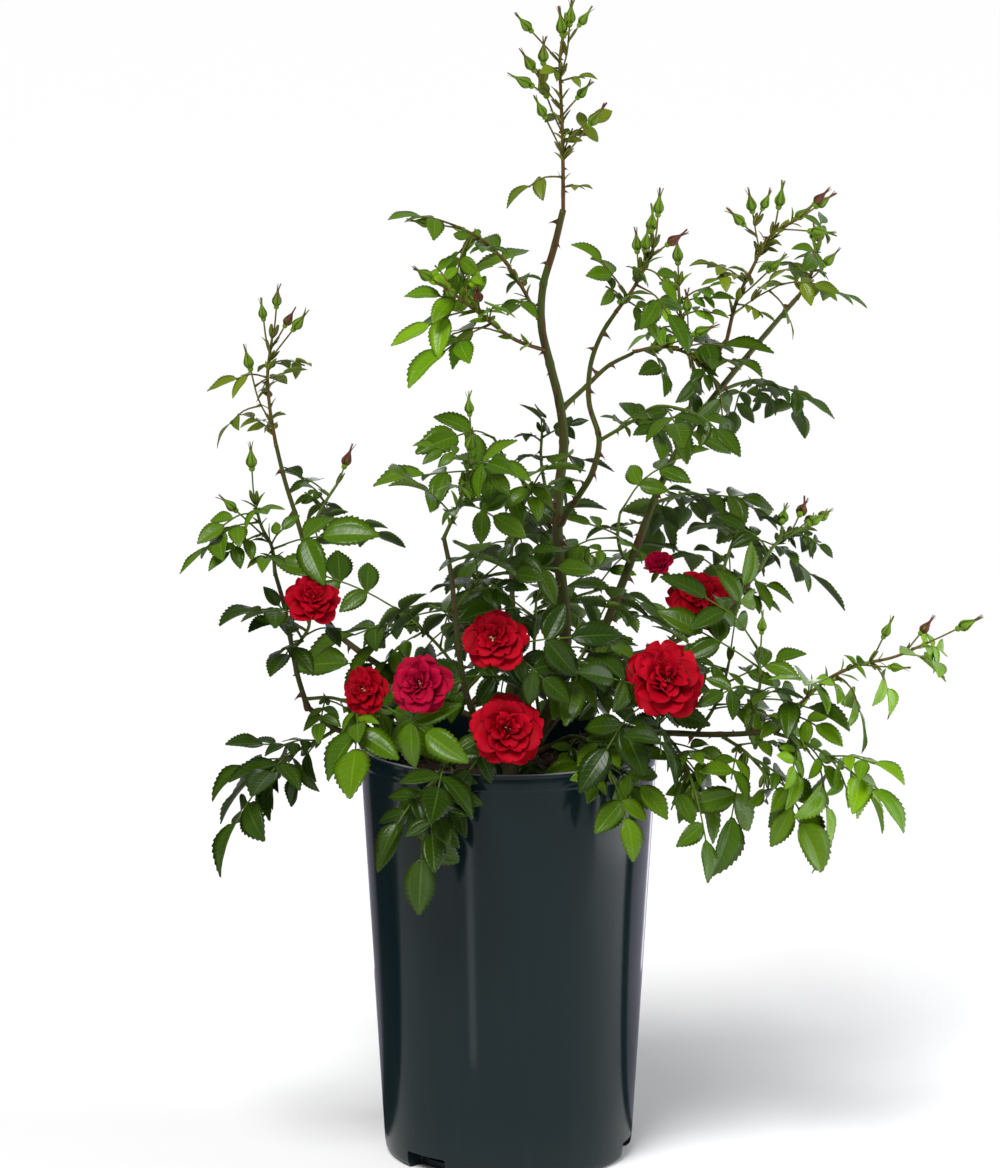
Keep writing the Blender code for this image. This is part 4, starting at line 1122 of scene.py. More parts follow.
def solids_of(sprays):
    """The solids that stand in the way: the pot, every limb, and the pieces of these sprays."""
    solids = {"pot": [filled_pot()]}
    solids.update({name: [limb_solid(shape)] for name, shape in limbs.items()})
    solids.update({name: [solid_of(piece) for piece in pieces] for name, pieces in sprays.items()})
    return solids


def by_spray(groups):
    """A value for each spray, from the names of sprays that share a value."""
    return {f"{name}_spray": value for value, names in groups.items() for name in names.split()}


def tree_beside(name, solids):
    """A search tree over all solids but those of one spray."""
    return search_tree([solid for other, group in solids.items() if other != name for solid in group])


stems = {spray.name: stem_shape(spray, limbs) for spray in SPRAYS}
solids = solids_of({name: [("stem", *stem)] for name, stem in stems.items()})
masses = {}
for spray in sorted(SPRAYS, key=lambda spray: not spray.blooms):
    masses[spray.name] = grow(spray, stems[spray.name], tree_beside(spray.name, solids))
    solids[spray.name] = [solid_of(piece) for piece in masses[spray.name]]
print("limbs:", len(limbs), " sprays:", len(masses), " pieces:", sum(map(len, masses.values())))

# %% [markdown]
# ## Finer growth
# The solids hold only as many leaves as a physics engine can bear, and larger ones than the real
# bush has. First the leaflets shrink to their real size, about the point where they are joined.

# %% Leaflets at their real size
USUAL_SIZE = 0.85       # share of the solid leaflet's length
REAL_SIZE = by_spray({  # and the sprays whose leaflets take another share
    1.0: "left_bud outer_top low_left front_left hanging_right low_right",
    0.95: "arch left_rim",
    0.9: "upper_left rim_right",
    0.8: "inner_left front_top",
    0.78: "right_inner mid_left front_arch",
    0.72: "centre centre_bloom right_bloom",
    0.68: "centre_right",
})


def real_size(name, piece):
    """A leaflet shortened from its root; any other piece as it is."""
    if piece[0] != "leaf":
        return piece
    return (*piece[:4], piece[4] * REAL_SIZE.get(name, USUAL_SIZE))


grown = {name: [real_size(name, piece) for piece in pieces] for name, pieces in masses.items()}
print(len(REAL_SIZE), "sprays have a size of their own")

# %% [markdown]
# Then smaller leaves, and buds on the flowering shoots, grow by the same rule from the same stems.
# Each is kept only where it touches nothing and stays in the room that its spray already fills.

# %% More leaves and buds on the same stems
FINER_TRIES = 30
FINER_KEPT = 5          # smaller leaves for each spray, where they find room
FINER_SLACK = 0.004     # how far they may pass the box round the spray's solids
MORE_BUDS = by_spray({  # more buds for the flowering shoots
    5: "top",
    4: "upper_right",
    2: "inner left_top arch bud lone_bud cross right_tip",
    1: "outer_top front_top left_bud upper_left right_curl",
})


def finer_leaf(spray, stem, rng):
    """One smaller leaf at a random place on the stem."""
    base, stem_way = place_on(stem[0], rng.uniform(spray.bare * 0.6, 0.97))
    way = side_way(stem_way, rng.choice("RLFBrlbd"), rng.uniform(38, 66), rng)
    return compound_leaf(base, way, rng.choice((3, 5)), spray.leaf * rng.uniform(0.42, 0.72), rng)


def finer_bud(spray, stem, rng):
    """One more bud on a short stalk that points along the shoot."""
    base, stem_way = place_on(stem[0], rng.uniform(0.25, 0.97))
    way = side_way(stem_way, rng.choice("RLrlRLbd"), rng.uniform(20, 42), rng)
    return bud(base, way, rng, rng.uniform(0.012, 0.026))


def finer_growth(spray, coarse, others):
    """Smaller leaves and more buds on a spray's stem, inside the box round its solids."""
    rng = Random(f"{spray.name} finer")
    corners = np.vstack([solid_of(piece)[0] for piece in masses[spray.name]])
    low, high = corners.min(0) - FINER_SLACK, corners.max(0) + FINER_SLACK
    stem = coarse[0][1:]
    stem_tree = search_tree([solid_of(("stem", *stem), GAP)])
    own = [solid_of(piece) for piece in coarse[1:]]
    pieces = []
    for make, wanted_count in ((finer_bud, MORE_BUDS.get(spray.name, 0)), (finer_leaf, FINER_KEPT)):
        made = 0
        for _ in range(FINER_TRIES):
            if made == wanted_count:
                break
            wanted = make(spray, stem, rng)
            tree = search_tree(own)
            kept = [piece for piece in wanted if fits(piece, others, tree, stem_tree)
                    and np.all((solid_of(piece)[0] > low) & (solid_of(piece)[0] < high))]
            if len(kept) < len(wanted) - (make is finer_leaf) or kept[0][0] != "stalk":
                continue
            pieces += kept
            own += [solid_of(piece) for piece in kept]
            made += 1
    return pieces


solids = solids_of(grown)
for spray in SPRAYS:
    grown[spray.name] += finer_growth(spray, grown[spray.name], tree_beside(spray.name, solids))
    solids[spray.name] = [solid_of(piece) for piece in grown[spray.name]]


def pieces_of(kind, names=tuple(grown)):
    """All pieces of one kind on these sprays."""
    return [piece for name in names for piece in grown[name] if piece[0] == kind]


print({kind: len(pieces_of(kind)) for kind in ("leaf", "bud", "bloom", "stalk")})

# %% [markdown]
# ## Canes
# A rose cane is a tapering rod with fine bark. A Catmull-Rom curve runs through the points of the
# solid cane and rounds its bends, and at each of its points a ring stands square to it. The start
# is drawn back into the limb that bears it, as a real branch collar grows.

# %% Smooth paths and round skins
def smoothed(points, count):
    """Catmull-Rom curve: on each span a cubic whose end slopes are half the way between neighbours."""
    ends = np.vstack([2 * points[0] - points[1], points, 2 * points[-1] - points[-2]])
    place = np.linspace(0, len(points) - 1, count)
    span = np.minimum(place.astype(int), len(points) - 2)
    u = (place - span)[:, None]
    a, b, c, d = (ends[span + k] for k in range(4))
    square, cube = 2 * a - 5 * b + 4 * c - d, 3 * b - a - 3 * c + d
    return 0.5 * (2 * b + (c - a) * u + square * u ** 2 + cube * u ** 3)


def skins(paths, radii, sides):
    """Round skins along many paths at once: each ring is its radius times the spokes of its turns."""
    tangent = unit_all(np.gradient(paths, axis=1))
    leaning = np.abs(tangent).max(axis=1)
    reference = np.eye(3)[np.argmin(leaning, axis=1)][:, None]
    across = unit_all(np.cross(tangent, reference))
    beside = np.cross(tangent, across)
    ring = spokes(across[:, :, None], beside[:, :, None], np.arange(sides) * math.tau / sides)
    radii = radii[:, :, None, None] if radii.ndim == 2 else radii[..., None]
    return paths[:, :, None] + ring * radii


def rooted(points, depth):
    """A path that starts a little further back, inside what bears it."""
    return np.vstack([points[0] - unit(points[1] - points[0]) * depth, points])

# %% [markdown]
# A leaf scar swells the skin at even steps, three shallow ribs wind up it, and its foot flares into
# a collar: all are factors on the radius. The age of the bark goes into the mesh as its tone.

# %% Growing the canes
CANE_SIDES = 16
RING_STEP = 0.0022   # length of cane between two rings of points
NODE_STEP = 0.024    # and between two leaf scars
SCAR_LENGTH = 0.0012
SCAR_TURN = 2.4      # radians from one scar to the next, round the cane
COLLAR_LENGTH = 0.006
COLLAR_SWELL = 0.35
RIB_DEPTH = 0.035
CROWN_HEIGHT = 0.36  # over which the bark gets younger


def cane_relief(distance, collar):
    """Factors on the radius, by ring and by turn: collar, leaf scars and ribs."""
    turn = np.arange(CANE_SIDES)[None] * math.tau / CANE_SIDES
    distance = distance[:, None]
    beside_scar = (distance + 0.4 * NODE_STEP) % NODE_STEP - NODE_STEP / 2
    scar = np.exp(-(beside_scar / SCAR_LENGTH) ** 2)
    facing = np.clip(np.cos(turn - SCAR_TURN * np.floor(distance / NODE_STEP)), 0, 1)
    relief = 1 + collar * np.exp(-(distance / COLLAR_LENGTH) ** 2) + scar * (0.10 + 0.12 * facing)
    return relief + RIB_DEPTH * np.sin(3 * turn + distance * 60)


cane_heap = Heap()
cane_lines = []
for name, (points, radii) in limbs.items():
    on_soil = stands_on_soil(points)
    drawn = rooted(points, 0.006 if on_soil else 0.0035)
    count = int(travelled(points)[-1] / RING_STEP)
    line = smoothed(drawn, count)
    along = np.linspace(0, len(drawn) - 1, count)
    radius = np.interp(along, np.arange(len(drawn)), np.concatenate([[radii[0]], radii]))
    relief = cane_relief(travelled(line), 0 if on_soil else COLLAR_SWELL)
    age = 1 - (line[:, 2] - SOIL_TOP) / CROWN_HEIGHT * 0.9 - 0.15 * (not on_soil)
    skin = skins(line[None], (radius[:, None] * relief)[None], CANE_SIDES)
    cane_heap.add_tubes(skin, np.repeat(np.clip(age, 0, 1), CANE_SIDES))
    cane_lines.append((line, radius))
print(len(cane_lines), "canes with", sum(len(line) for line, _ in cane_lines), "rings")

# %% [markdown]
# Young rose bark is smooth and green, and reddens in the sun. With age it dulls to olive brown with
# pale streaks. The finish mixes the two by the tone that the mesh keeps.

# %% Finish of the bark
bark = Finish("green_bark", (0.050, 0.060, 0.012), 0.5)
age = bark.tone()
streaks = bark.noise(230, 4, (1, 1, 0.15))
young = bark.mix(streaks.between(0.52, 0.68), (0.052, 0.078, 0.008), (0.078, 0.024, 0.010))
old = bark.mix(streaks.between(0.42, 0.62), (0.036, 0.042, 0.008), (0.062, 0.034, 0.016))
pores = bark.noise(900, 1).between(0.66, 0.72)
bark.paint({
    "Base Color": bark.mix(pores * 0.3, bark.mix(age, young, old), (0.12, 0.09, 0.04)),
    "Roughness": 0.38 + age * 0.25,
})
bark.relief(streaks + pores * 0.5, 0.0003)
seat(cane_heap.made("canes", bark), "cane_bark", *limbs)

# %% [markdown]
# ## Shoots and leaf stalks
# The shoots are thinner and plainer. Once smoothed, all of them have the same count of points, so
# one array holds them all, and the stalks of the leaves make a second.

# %% Growing the shoots
RED_SHOOTS = by_spray({
    True: "top upper_right inner upper_left left_top left_bud cross right_tip arch lone_bud",
})
STALK_ROWS, STALK_CORNERS = 7, 6
SHOOT_ROWS, SHOOT_CORNERS = 34, 10
STALK_RADIUS = 0.00052
SHOOT_NODES = 6  # swellings along a shoot


def even_radius(stem):
    """A stem's radius at each point of its smoothed line."""
    return np.interp(np.linspace(0, 1, SHOOT_ROWS), (0, 1), (stem[2][0], stem[2][-1]))


def stalk_skins(names):
    """Round skins of these sprays' stalks, each thicker at its foot where it leaves its stem."""
    paths = np.stack([smoothed(piece[1], STALK_ROWS) for piece in pieces_of("stalk", names)])
    flare = 1 + 0.7 * np.exp(-(np.linspace(0, 1, STALK_ROWS) / 0.12) ** 2)
    return skins(paths, np.broadcast_to(STALK_RADIUS * flare, (len(paths), STALK_ROWS)), STALK_CORNERS)


def shoot_heap(names):
    """Stems and stalks of these sprays in one heap. The stem's tone grows from foot to tip."""
    heap = Heap()
    stems = [grown[name][0] for name in names]
    paths = np.stack([smoothed(rooted(stem[1], 0.0025), SHOOT_ROWS) for stem in stems])
    share = np.linspace(0, 1, SHOOT_ROWS)
    radii = np.stack([even_radius(stem) * 0.9 for stem in stems])
    nodes = 0.14 * np.exp(-((share * SHOOT_NODES % 1 - 0.5) / 0.1) ** 2)
    radii = radii * (1 + 0.3 * np.exp(-(share / 0.06) ** 2) + nodes)
    heap.add_tubes(skins(paths, radii, SHOOT_CORNERS), np.repeat(share, SHOOT_CORNERS))
    heap.add_tubes(stalk_skins(names), 1.0)
    return heap


print("red shoots:", len(RED_SHOOTS), "of", len(SPRAYS))

# %% [markdown]
# One finish serves green and red shoots. It changes from foot to tip, and a cloudy noise shifts
# the change.

# %% Finish of the shoots
def shoot_finish(name, foot, tip):
    """Smooth green or red skin that changes from the foot of a shoot to its tip."""
    skin = Finish(name, foot, 0.42)
    along = skin.tone()
    cloud = skin.noise(190, 3)
    share = (along * 0.8 + cloud * 0.5 - 0.15).between(0, 1)
    skin.paint({"Base Color": skin.mix(share, foot, tip), "Roughness": 0.36 + cloud * 0.15})
    skin.relief(cloud, 0.0002)
    return skin


green_names = [spray.name for spray in SPRAYS if spray.name not in RED_SHOOTS]
red_names = [spray.name for spray in SPRAYS if spray.name in RED_SHOOTS]
green_skin = shoot_finish("green_shoot", (0.054, 0.074, 0.010), (0.076, 0.135, 0.011))
red_skin = shoot_finish("red_shoot", (0.085, 0.024, 0.012), (0.120, 0.105, 0.014))
seat(shoot_heap(green_names).made("green_shoots", green_skin), "foliage", *green_names)
seat(shoot_heap(red_names).made("red_shoots", red_skin), "foliage", *red_names)

# %% [markdown]
# ## Prickles
# A rose has prickles, not thorns: flat cones of bark with a long foot, hooked towards the ground.
# Each is a cone whose axis bends down and whose ring is longer along the cane than across it.

# %% The shape of a prickle
PRICKLE_RISE = np.array([-0.12, 0.0, 0.2, 0.45, 0.72, 0.97])   # heights of its rings
PRICKLE_GIRTH = np.array([1.25, 1.0, 0.62, 0.36, 0.17, 0.02])  # and their sizes
PRICKLE_LONG, PRICKLE_WIDE = 0.42, 0.17                        # half the foot, for the height
PRICKLE_HOOK = 0.45
PRICKLE_STEP = 0.013  # length of cane between two prickles
CANE_PRICKLE, SHOOT_PRICKLE = 0.0062, 0.0036                   # the tallest on each


def prickles(roots, outward, downward, height):
    """Hooked cones: the axis runs outward and sags with the square of the height. Rings shrink
    evenly and are stretched along the cane."""
    turn = np.arange(6) * math.tau / 6
    side = np.cross(outward, downward)
    hook = PRICKLE_HOOK * np.clip(PRICKLE_RISE, 0, 1) ** 2
    middle = outward[:, None] * PRICKLE_RISE[:, None] + downward[:, None] * hook[:, None]
    long, wide = PRICKLE_LONG * downward[:, None, None], PRICKLE_WIDE * side[:, None, None]
    ring = spokes(long, wide, turn) * PRICKLE_GIRTH[:, None, None]
    return roots[:, None, None] + height[:, None, None, None] * (middle[:, :, None] + ring)


def any_side(way, rng):
    """A random direction square to a way."""
    out = rng.normal(size=3)
    return unit(out - way * np.dot(out, way))

# %% [markdown]
# The prickles are dealt out along every cane and shoot at even steps, each towards its own side,
# and darken from foot to tip.

# %% Setting the prickles
rng = np.random.default_rng(23)
lines = [(line, radius, CANE_PRICKLE) for line, radius in cane_lines]
for stem, *_ in grown.values():
    lines.append((smoothed(stem[1], SHOOT_ROWS), even_radius(stem) * 0.85, SHOOT_PRICKLE))
set_out = []  # root, outward, downward and height of each
for line, radius, size in lines:
    distance = travelled(line)
    for at in np.arange(0.012, distance[-1] - 0.006, PRICKLE_STEP) + rng.uniform(-0.004, 0.004):
        index = int(np.searchsorted(distance, at))
        way = unit(line[min(index + 1, len(line) - 1)] - line[index - 1])
        out = any_side(way, rng)
        root = line[index] + out * radius[index] * 0.8
        set_out.append((root, out, -way, size * rng.uniform(0.55, 1.0)))
prickle_heap = Heap()
prickle_heap.add_tubes(prickles(*map(np.array, zip(*set_out))), np.repeat(np.linspace(0, 1, 6), 6))
thorn = Finish("prickle", (0.09, 0.022, 0.016), 0.4)
thorn.paint({"Base Color": thorn.mix(thorn.tone(), (0.115, 0.045, 0.020), (0.050, 0.010, 0.012))})
seat(prickle_heap.made("prickles", thorn), "cane_bark")

# %% [markdown]
# ## Leaflets
# A rose leaflet is a pointed oval with a toothed rim, folded along its midrib and curled down
# towards its tip. Its surface has two parameters: s from root to tip, and t from one rim to the
# other. All leaflets of one tint are one array.

# %% The leaflet's surface
TEETH = 11           # teeth on each side of a leaflet
LEAF_ROWS, LEAF_COLUMNS = 2 * TEETH + 1, 5
BLADE_WIDTH = 0.59   # leaflet's width for its length
NOTCH = 0.10         # depth of the gap between two teeth, for the half width
TOOTH_LEAN = 0.55    # how far a tooth points ahead, in rows
CURL = (0.08, 0.75)  # least and greatest bend of a leaflet, in radians
FOLD = (0.16, 0.56)  # rise of its edges for its half width
RIM_WAVE = 0.05
QUILT = 0.005        # rise between two side veins


def leaflet_surfaces(pieces, rng, breadth=BLADE_WIDTH):
    """Surfaces of many leaflets.

    Half width: sin(pi s^0.8)^0.8. Tooth rows reach the rim, and the rows between fall short of
    it. Rise: a fold that grows from the midrib, and a slow wave. Line: an arc that turns down.
    """
    each = (len(pieces), 1, 1)
    root, way, normal = (np.array([piece[k] for piece in pieces]) for k in (1, 2, 3))
    length = np.array([piece[4] for piece in pieces])[:, None, None]
    length = length * rng.uniform(0.84, 1.08, each)
    side = np.cross(normal, way)
    s = np.linspace(0, 1, LEAF_ROWS)[None, :, None]
    t = np.linspace(-1, 1, LEAF_COLUMNS)[None, None, :]
    tooth = (np.arange(LEAF_ROWS) % 2)[None, :, None]
    rim = (np.abs(t) == 1)
    shape = np.sin(np.pi * np.clip(s, 0.012, 0.9965) ** 0.8) ** 0.8 * (1 - 0.22 * s ** 5)
    breadth = breadth * rng.uniform(0.88, 1.12, each)
    half = length * breadth / 2 * shape * (1 - NOTCH * rim * (1 - tooth) * np.sin(np.pi * s) ** 0.3)
    s = np.clip(s + rim * (tooth * TOOTH_LEAN - (1 - tooth) * 0.15) / LEAF_ROWS, 0, 1)
    curl = rng.uniform(*CURL, each)
    fold = rng.uniform(*FOLD, each)
    phase = rng.uniform(0, math.tau, each)
    wave = RIM_WAVE * np.sin(3.2 * np.pi * s + phase + 1.2 * np.sign(t)) * t ** 2
    quilt = QUILT * np.sin(np.pi * (9 * s - 2.4 * np.abs(t))) * (1 - np.abs(t)) * np.abs(t) * 4
    rise = half * (fold * np.abs(t) ** 1.3 + wave + quilt)
    bend = curl * s
    ahead = length * np.sin(bend) / curl + rise * np.sin(bend)
    up = -length * (1 - np.cos(bend)) / curl + rise * np.cos(bend)
    along, above, beside = (axis[:, None, None] for axis in (way, normal, side))
    return (root[:, None, None] + along * ahead[..., None] + above * up[..., None]
            + beside * (half * t)[..., None])


print("a leaflet has", LEAF_ROWS, "rows of", LEAF_COLUMNS, "points")

# %% [markdown]
# Stipules are the narrow wings at the foot of a rose's leaf stalk. Bracts are small leaves without
# a stalk, in pairs on the flowering shoots.

# %% Stipules and bracts
STIPULE_LENGTH = 0.0085
BRACT_STEP = 0.012  # length of shoot between two pairs of bracts


def stipule_surfaces(stalks):
    """Narrow wings on both sides of a leaf stalk's foot: straight blades that taper to a point."""
    s = np.linspace(0, 1, 6)[:, None]
    t = np.linspace(-1, 1, 3)[None]
    root = np.array([points[0] for points in stalks])[:, None, None]
    way = unit_all(np.array([points[1] - points[0] for points in stalks]))
    side = unit_all(np.cross(way, (0.1, 0.2, 1.0)))[:, None, None]
    ahead = way[:, None, None] * (STIPULE_LENGTH * s + 0 * t)[..., None]
    wide = 0.0006 + 0.0011 * np.sin(np.pi * np.clip(s, 0, 0.97)) ** 0.8
    aside = (wide * (t + 1) * 0.9 + 0.0016 * s ** 3)[..., None]
    return [root + ahead + side * hand * aside for hand in (-1, 1)]


def bracts(names, rng):
    """Narrow small leaves in pairs along the flowering shoots, pressed towards the tip."""
    made = []
    for name in names:
        stem = grown[name][0][1]
        for fraction in np.arange(0.12, 1.0, BRACT_STEP / travelled(stem)[-1]):
            root, way = place_on(stem, min(fraction + rng.uniform(0, 0.04), 0.98))
            out = any_side(way, rng)
            for side in (out, -out):
                lean = rng.uniform(0.25, 0.75)
                line = unit(way * math.cos(lean) + side * math.sin(lean))
                normal = unit(way * math.sin(lean) - side * math.cos(lean))
                made.append(("leaf", root + side * 0.0006, line, normal, rng.uniform(0.006, 0.013)))
    return made

# %% [markdown]
# Upper faces are glossy, with a pale midrib and fainter side veins. Undersides are paler and dull.
# Each spray keeps one tint, from the dark green of grown leaves to the yellow green of new ones.

# %% Finish of the leaves
VEIN_PAIRS = 8.5
RIM_TINT = (0.060, 0.030, 0.010)


def scaled(colour, *factors):
    """A colour whose red, green and blue are each multiplied by a factor."""
    return tuple(part * factor for part, factor in zip(colour, factors))


def leaf_finish(name, colour, vein, roughness, specular):
    """Blade colour with its veins. Side veins are thin lines at even steps, drawn back from the rim."""
    skin = Finish(name, colour, roughness, specular)
    across, along = skin.blade_place()
    out = ((across - 0.5) * 2).math("ABSOLUTE")
    midrib = 1 - out.between(0.015, 0.07)
    comb = ((along - out * 0.2) * VEIN_PAIRS).math("PINGPONG", 0.5) * 2
    veins = (1 - comb.between(0.0, 0.22)) * out.between(1.0, 0.7)
    shade = skin.mix(skin.tone(), scaled(colour, 0.7, 0.7, 0.7), scaled(colour, 1.6, 1.3, 1))
    cloud = skin.noise(120, 3)
    mottled = skin.mix(cloud.between(0.35, 0.75) * 0.3, shade, scaled(colour, 0.9, 0.65, 0.5))
    veined = skin.mix((midrib * 0.38).math("MAXIMUM", veins * 0.09), mottled, vein)
    skin.paint({
        "Base Color": skin.mix(out.between(0.90, 1.0) * 0.45, veined, RIM_TINT),
        "Roughness": roughness + veins * 0.08 + cloud * 0.1,
    })
    skin.relief(out.between(0.0, 0.12) * 0.6 - veins * 0.2, 0.0002)
    return skin


LEAF_TINTS = {            # the blade's colour and its veins'
    "dark": ((0.019, 0.052, 0.002), (0.095, 0.180, 0.022)),
    "deep": ((0.034, 0.086, 0.002), (0.120, 0.215, 0.024)),
    "mid": ((0.060, 0.148, 0.003), (0.190, 0.315, 0.028)),
    "light": ((0.112, 0.275, 0.003), (0.300, 0.470, 0.050)),
    "young": ((0.110, 0.185, 0.008), (0.250, 0.280, 0.045)),
}
SPRAY_TINTS = by_spray({  # and the others are dark
    "deep": "bud_leaf centre_right left_side inner_left cross fork right_leaf front_arch right_arch"
            " right_curl back_top back_low",
    "mid": "right_tip inner upper_left mid_left front_top hanging_right right_fill outer_top rim_right"
           " back_right right_inner front_right left_rim",
    "light": "lone_bud left_bud arch bloom_pair low_right left_bloom",
    "young": "top upper_right left_top",
})
print("dark sprays:", len(SPRAYS) - len(SPRAY_TINTS))

# %% [markdown]
# The leaves of each tint become one piece with two finishes. Each leaflet draws a tone, so that it
# is a little lighter or darker than its neighbours.

# %% Growing the leaves
LEAF_THIN, THIN = 0.00028, 0.0003        # thickness of leaflets, and of stipules and sepals
BRACT_WIDTH = 0.34
PALER = np.array((0.022, 0.035, 0.010))  # what an underside adds to the blade's colour

rng = np.random.default_rng(5)
for tint, (colour, vein) in LEAF_TINTS.items():
    heap = Heap()
    names = [name for name in grown if SPRAY_TINTS.get(name, "dark") == tint]
    surfaces = leaflet_surfaces(pieces_of("leaf", names), rng)
    heap.add_blades(surfaces, LEAF_THIN, rng.uniform(0, 1, (len(surfaces), 1)))
    for sheet in stipule_surfaces([piece[1] for piece in pieces_of("stalk", names)]):
        heap.add_blades(sheet, THIN, 0.8, placed=False)
    small = bracts([name for name in names if name in MORE_BUDS], rng)
    if small:
        heap.add_blades(leaflet_surfaces(small, rng, BRACT_WIDTH), LEAF_THIN, 1.0)
    upper = leaf_finish(f"leaf_{tint}", colour, vein, 0.19, 0.20)
    pale = tuple(0.8 * np.array(colour) + PALER)
    under = leaf_finish(f"leaf_{tint}_underside", pale, scaled(pale, 1.5, 1.5, 1.5), 0.55, 0.25)
    seat(heap.made(f"leaves_{tint}", upper, under), "foliage", *names)

# %% [markdown]
# ## Buds
# A bud is a small hip, a neck, and a pointed oval of petals wrapped in five sepals whose thin tips
# stand past it. The body is a turned profile, and each sepal is a narrow blade laid over it.

# %% Shapes of a bud
BUD_GIRTH = np.array((0.02, 0.40, 0.58, 0.52, 0.58, 0.84, 0.92, 0.78, 0.52, 0.26, 0.05))
BUD_RISE = np.array((0.0, 0.05, 0.14, 0.22, 0.27, 0.36, 0.46, 0.58, 0.72, 0.86, 0.98))
BUD_CORNERS = 12
SEPALS = 5
SEPAL_ROWS, SEPAL_COLUMNS = 9, 3
SEPAL_FLARE = 2.4  # how far a tip may stand out, in radii of the bud


def bud_axes(pieces):
    """Root, direction and two directions square to it, for each bud, and its length and radius."""
    root, way = (np.array([piece[k] for piece in pieces]) for k in (1, 2))
    length = np.array([piece[3] for piece in pieces])
    first = unit_all(np.cross(way, BESIDE_BUDS))
    return root, way, first, np.cross(way, first), length, length * BUD_RADIUS / BUD_LENGTH


def bud_bodies(pieces):
    """Turned bodies: ring radius and height come from the profile, about each bud's direction."""
    root, way, first, second, length, radius = bud_axes(pieces)
    ring = spokes(first[:, None], second[:, None], np.arange(BUD_CORNERS) * math.tau / BUD_CORNERS)
    rise = way[:, None] * BUD_RISE[:, None] * length[:, None, None]
    girth = BUD_GIRTH[None, :, None, None] * radius[:, None, None, None]
    return (root[:, None] + rise)[:, :, None] + ring[:, None] * girth


def sepal_surfaces(pieces, rng):
    """Five sepals to a bud: each follows the bud's profile a little outside it, its half width
    shrinking evenly to a thin tip that stands past the bud and flares out."""
    root, way, first, second, length, radius = (part[:, None, None] for part in bud_axes(pieces))
    s = np.linspace(0, 1, SEPAL_ROWS)[:, None]
    t = np.linspace(-1, 1, SEPAL_COLUMNS)
    height = 0.24 + 1.12 * s
    girth = np.interp(height, BUD_RISE, BUD_GIRTH) * 1.08 + 0.06
    spread = np.clip(1 - s, 0.05, 1) ** 0.7 * 0.62 * t / np.maximum(girth, 0.35)
    rise = way * (height * length)[..., None]
    sheets = []
    for k in range(SEPALS):
        azimuth = k * math.tau / SEPALS + rng.uniform(-0.15, 0.15, (len(pieces), 1, 1))
        flare = SEPAL_FLARE * np.clip(s - 0.5, 0, 1) ** 1.6 * rng.uniform(0, 1, (len(pieces), 1, 1)) ** 2
        out = spokes(first, second, azimuth + spread)
        sheets.append(root + rise + out * ((girth + flare) * radius)[..., None])
    return np.concatenate(sheets)

# %% [markdown]
# Petals show red at the tip of a bud, and sepals ripen from green to red. Each bud draws its own
# ripeness, so most are green and a few have turned.

# %% Growing the buds
bud_pieces = pieces_of("bud")
rng = np.random.default_rng(31)
bud_heap, sepal_heap = Heap(), Heap()
bud_heap.add_tubes(bud_bodies(bud_pieces), np.repeat(BUD_RISE, BUD_CORNERS))
sepal_tones = blade_places(SEPAL_ROWS, SEPAL_COLUMNS)[:, 1]
sheets = sepal_surfaces(bud_pieces, rng)
ripeness = rng.choice((-0.3, -0.1, 0.1, 0.7), len(bud_pieces), p=(0.35, 0.3, 0.2, 0.15))
sepal_heap.add_blades(sheets, THIN, sepal_tones + np.tile(ripeness, SEPALS)[:, None], placed=False)
bud_skin = Finish("bud_green", (0.13, 0.24, 0.008), 0.4)
tip = bud_skin.tone().between(0.60, 0.95)
bud_skin.paint({"Base Color": bud_skin.mix(tip, (0.13, 0.24, 0.008), (0.26, 0.030, 0.020))})
sepal_skin = Finish("sepal", (0.12, 0.22, 0.012), 0.45)
tip = (sepal_skin.tone() + sepal_skin.noise(160, 2) * 0.7 - 0.35).between(0.35, 0.95)
sepal_skin.paint({"Base Color": sepal_skin.mix(tip, (0.12, 0.22, 0.012), (0.12, 0.034, 0.020))})
seat(bud_heap.made("buds", bud_skin), "foliage")
seat(sepal_heap.made("sepals", sepal_skin, sepal_skin), "foliage")

# %% [markdown]
# ## Blooms
# The blooms are semi-double: whorls of ruffled petals round a tuft of stamens. The outer whorls
# lie open, and each one further in stands steeper and shorter. A petal's width is measured round
# the axis, so that inner petals wrap and outer ones lie nearly flat.

# %% The petals' surfaces
WHORLS = (          # petals, lean at the foot, lean at the tip, length, half width
    (5, 62, 98, 1.04, 0.76),
    (5, 48, 86, 0.98, 0.74),
    (5, 34, 70, 0.86, 0.66),
    (5, 20, 54, 0.70, 0.56),
    (4, 10, 38, 0.54, 0.46),
    (3, 4, 24, 0.42, 0.34),
)
PETAL_ROWS, PETAL_COLUMNS = 12, 11
HALF_OPEN = 0.66    # how far the smallest bloom has opened
NOTCH_DEPTH = 0.07  # of the small notch in the middle of a petal's rim
RUFFLES = ((0.050, 4.6, 0), (0.045, 2.6, 5))  # height, waves across, waves along
CUP = 0.12          # how much a petal's sides rise


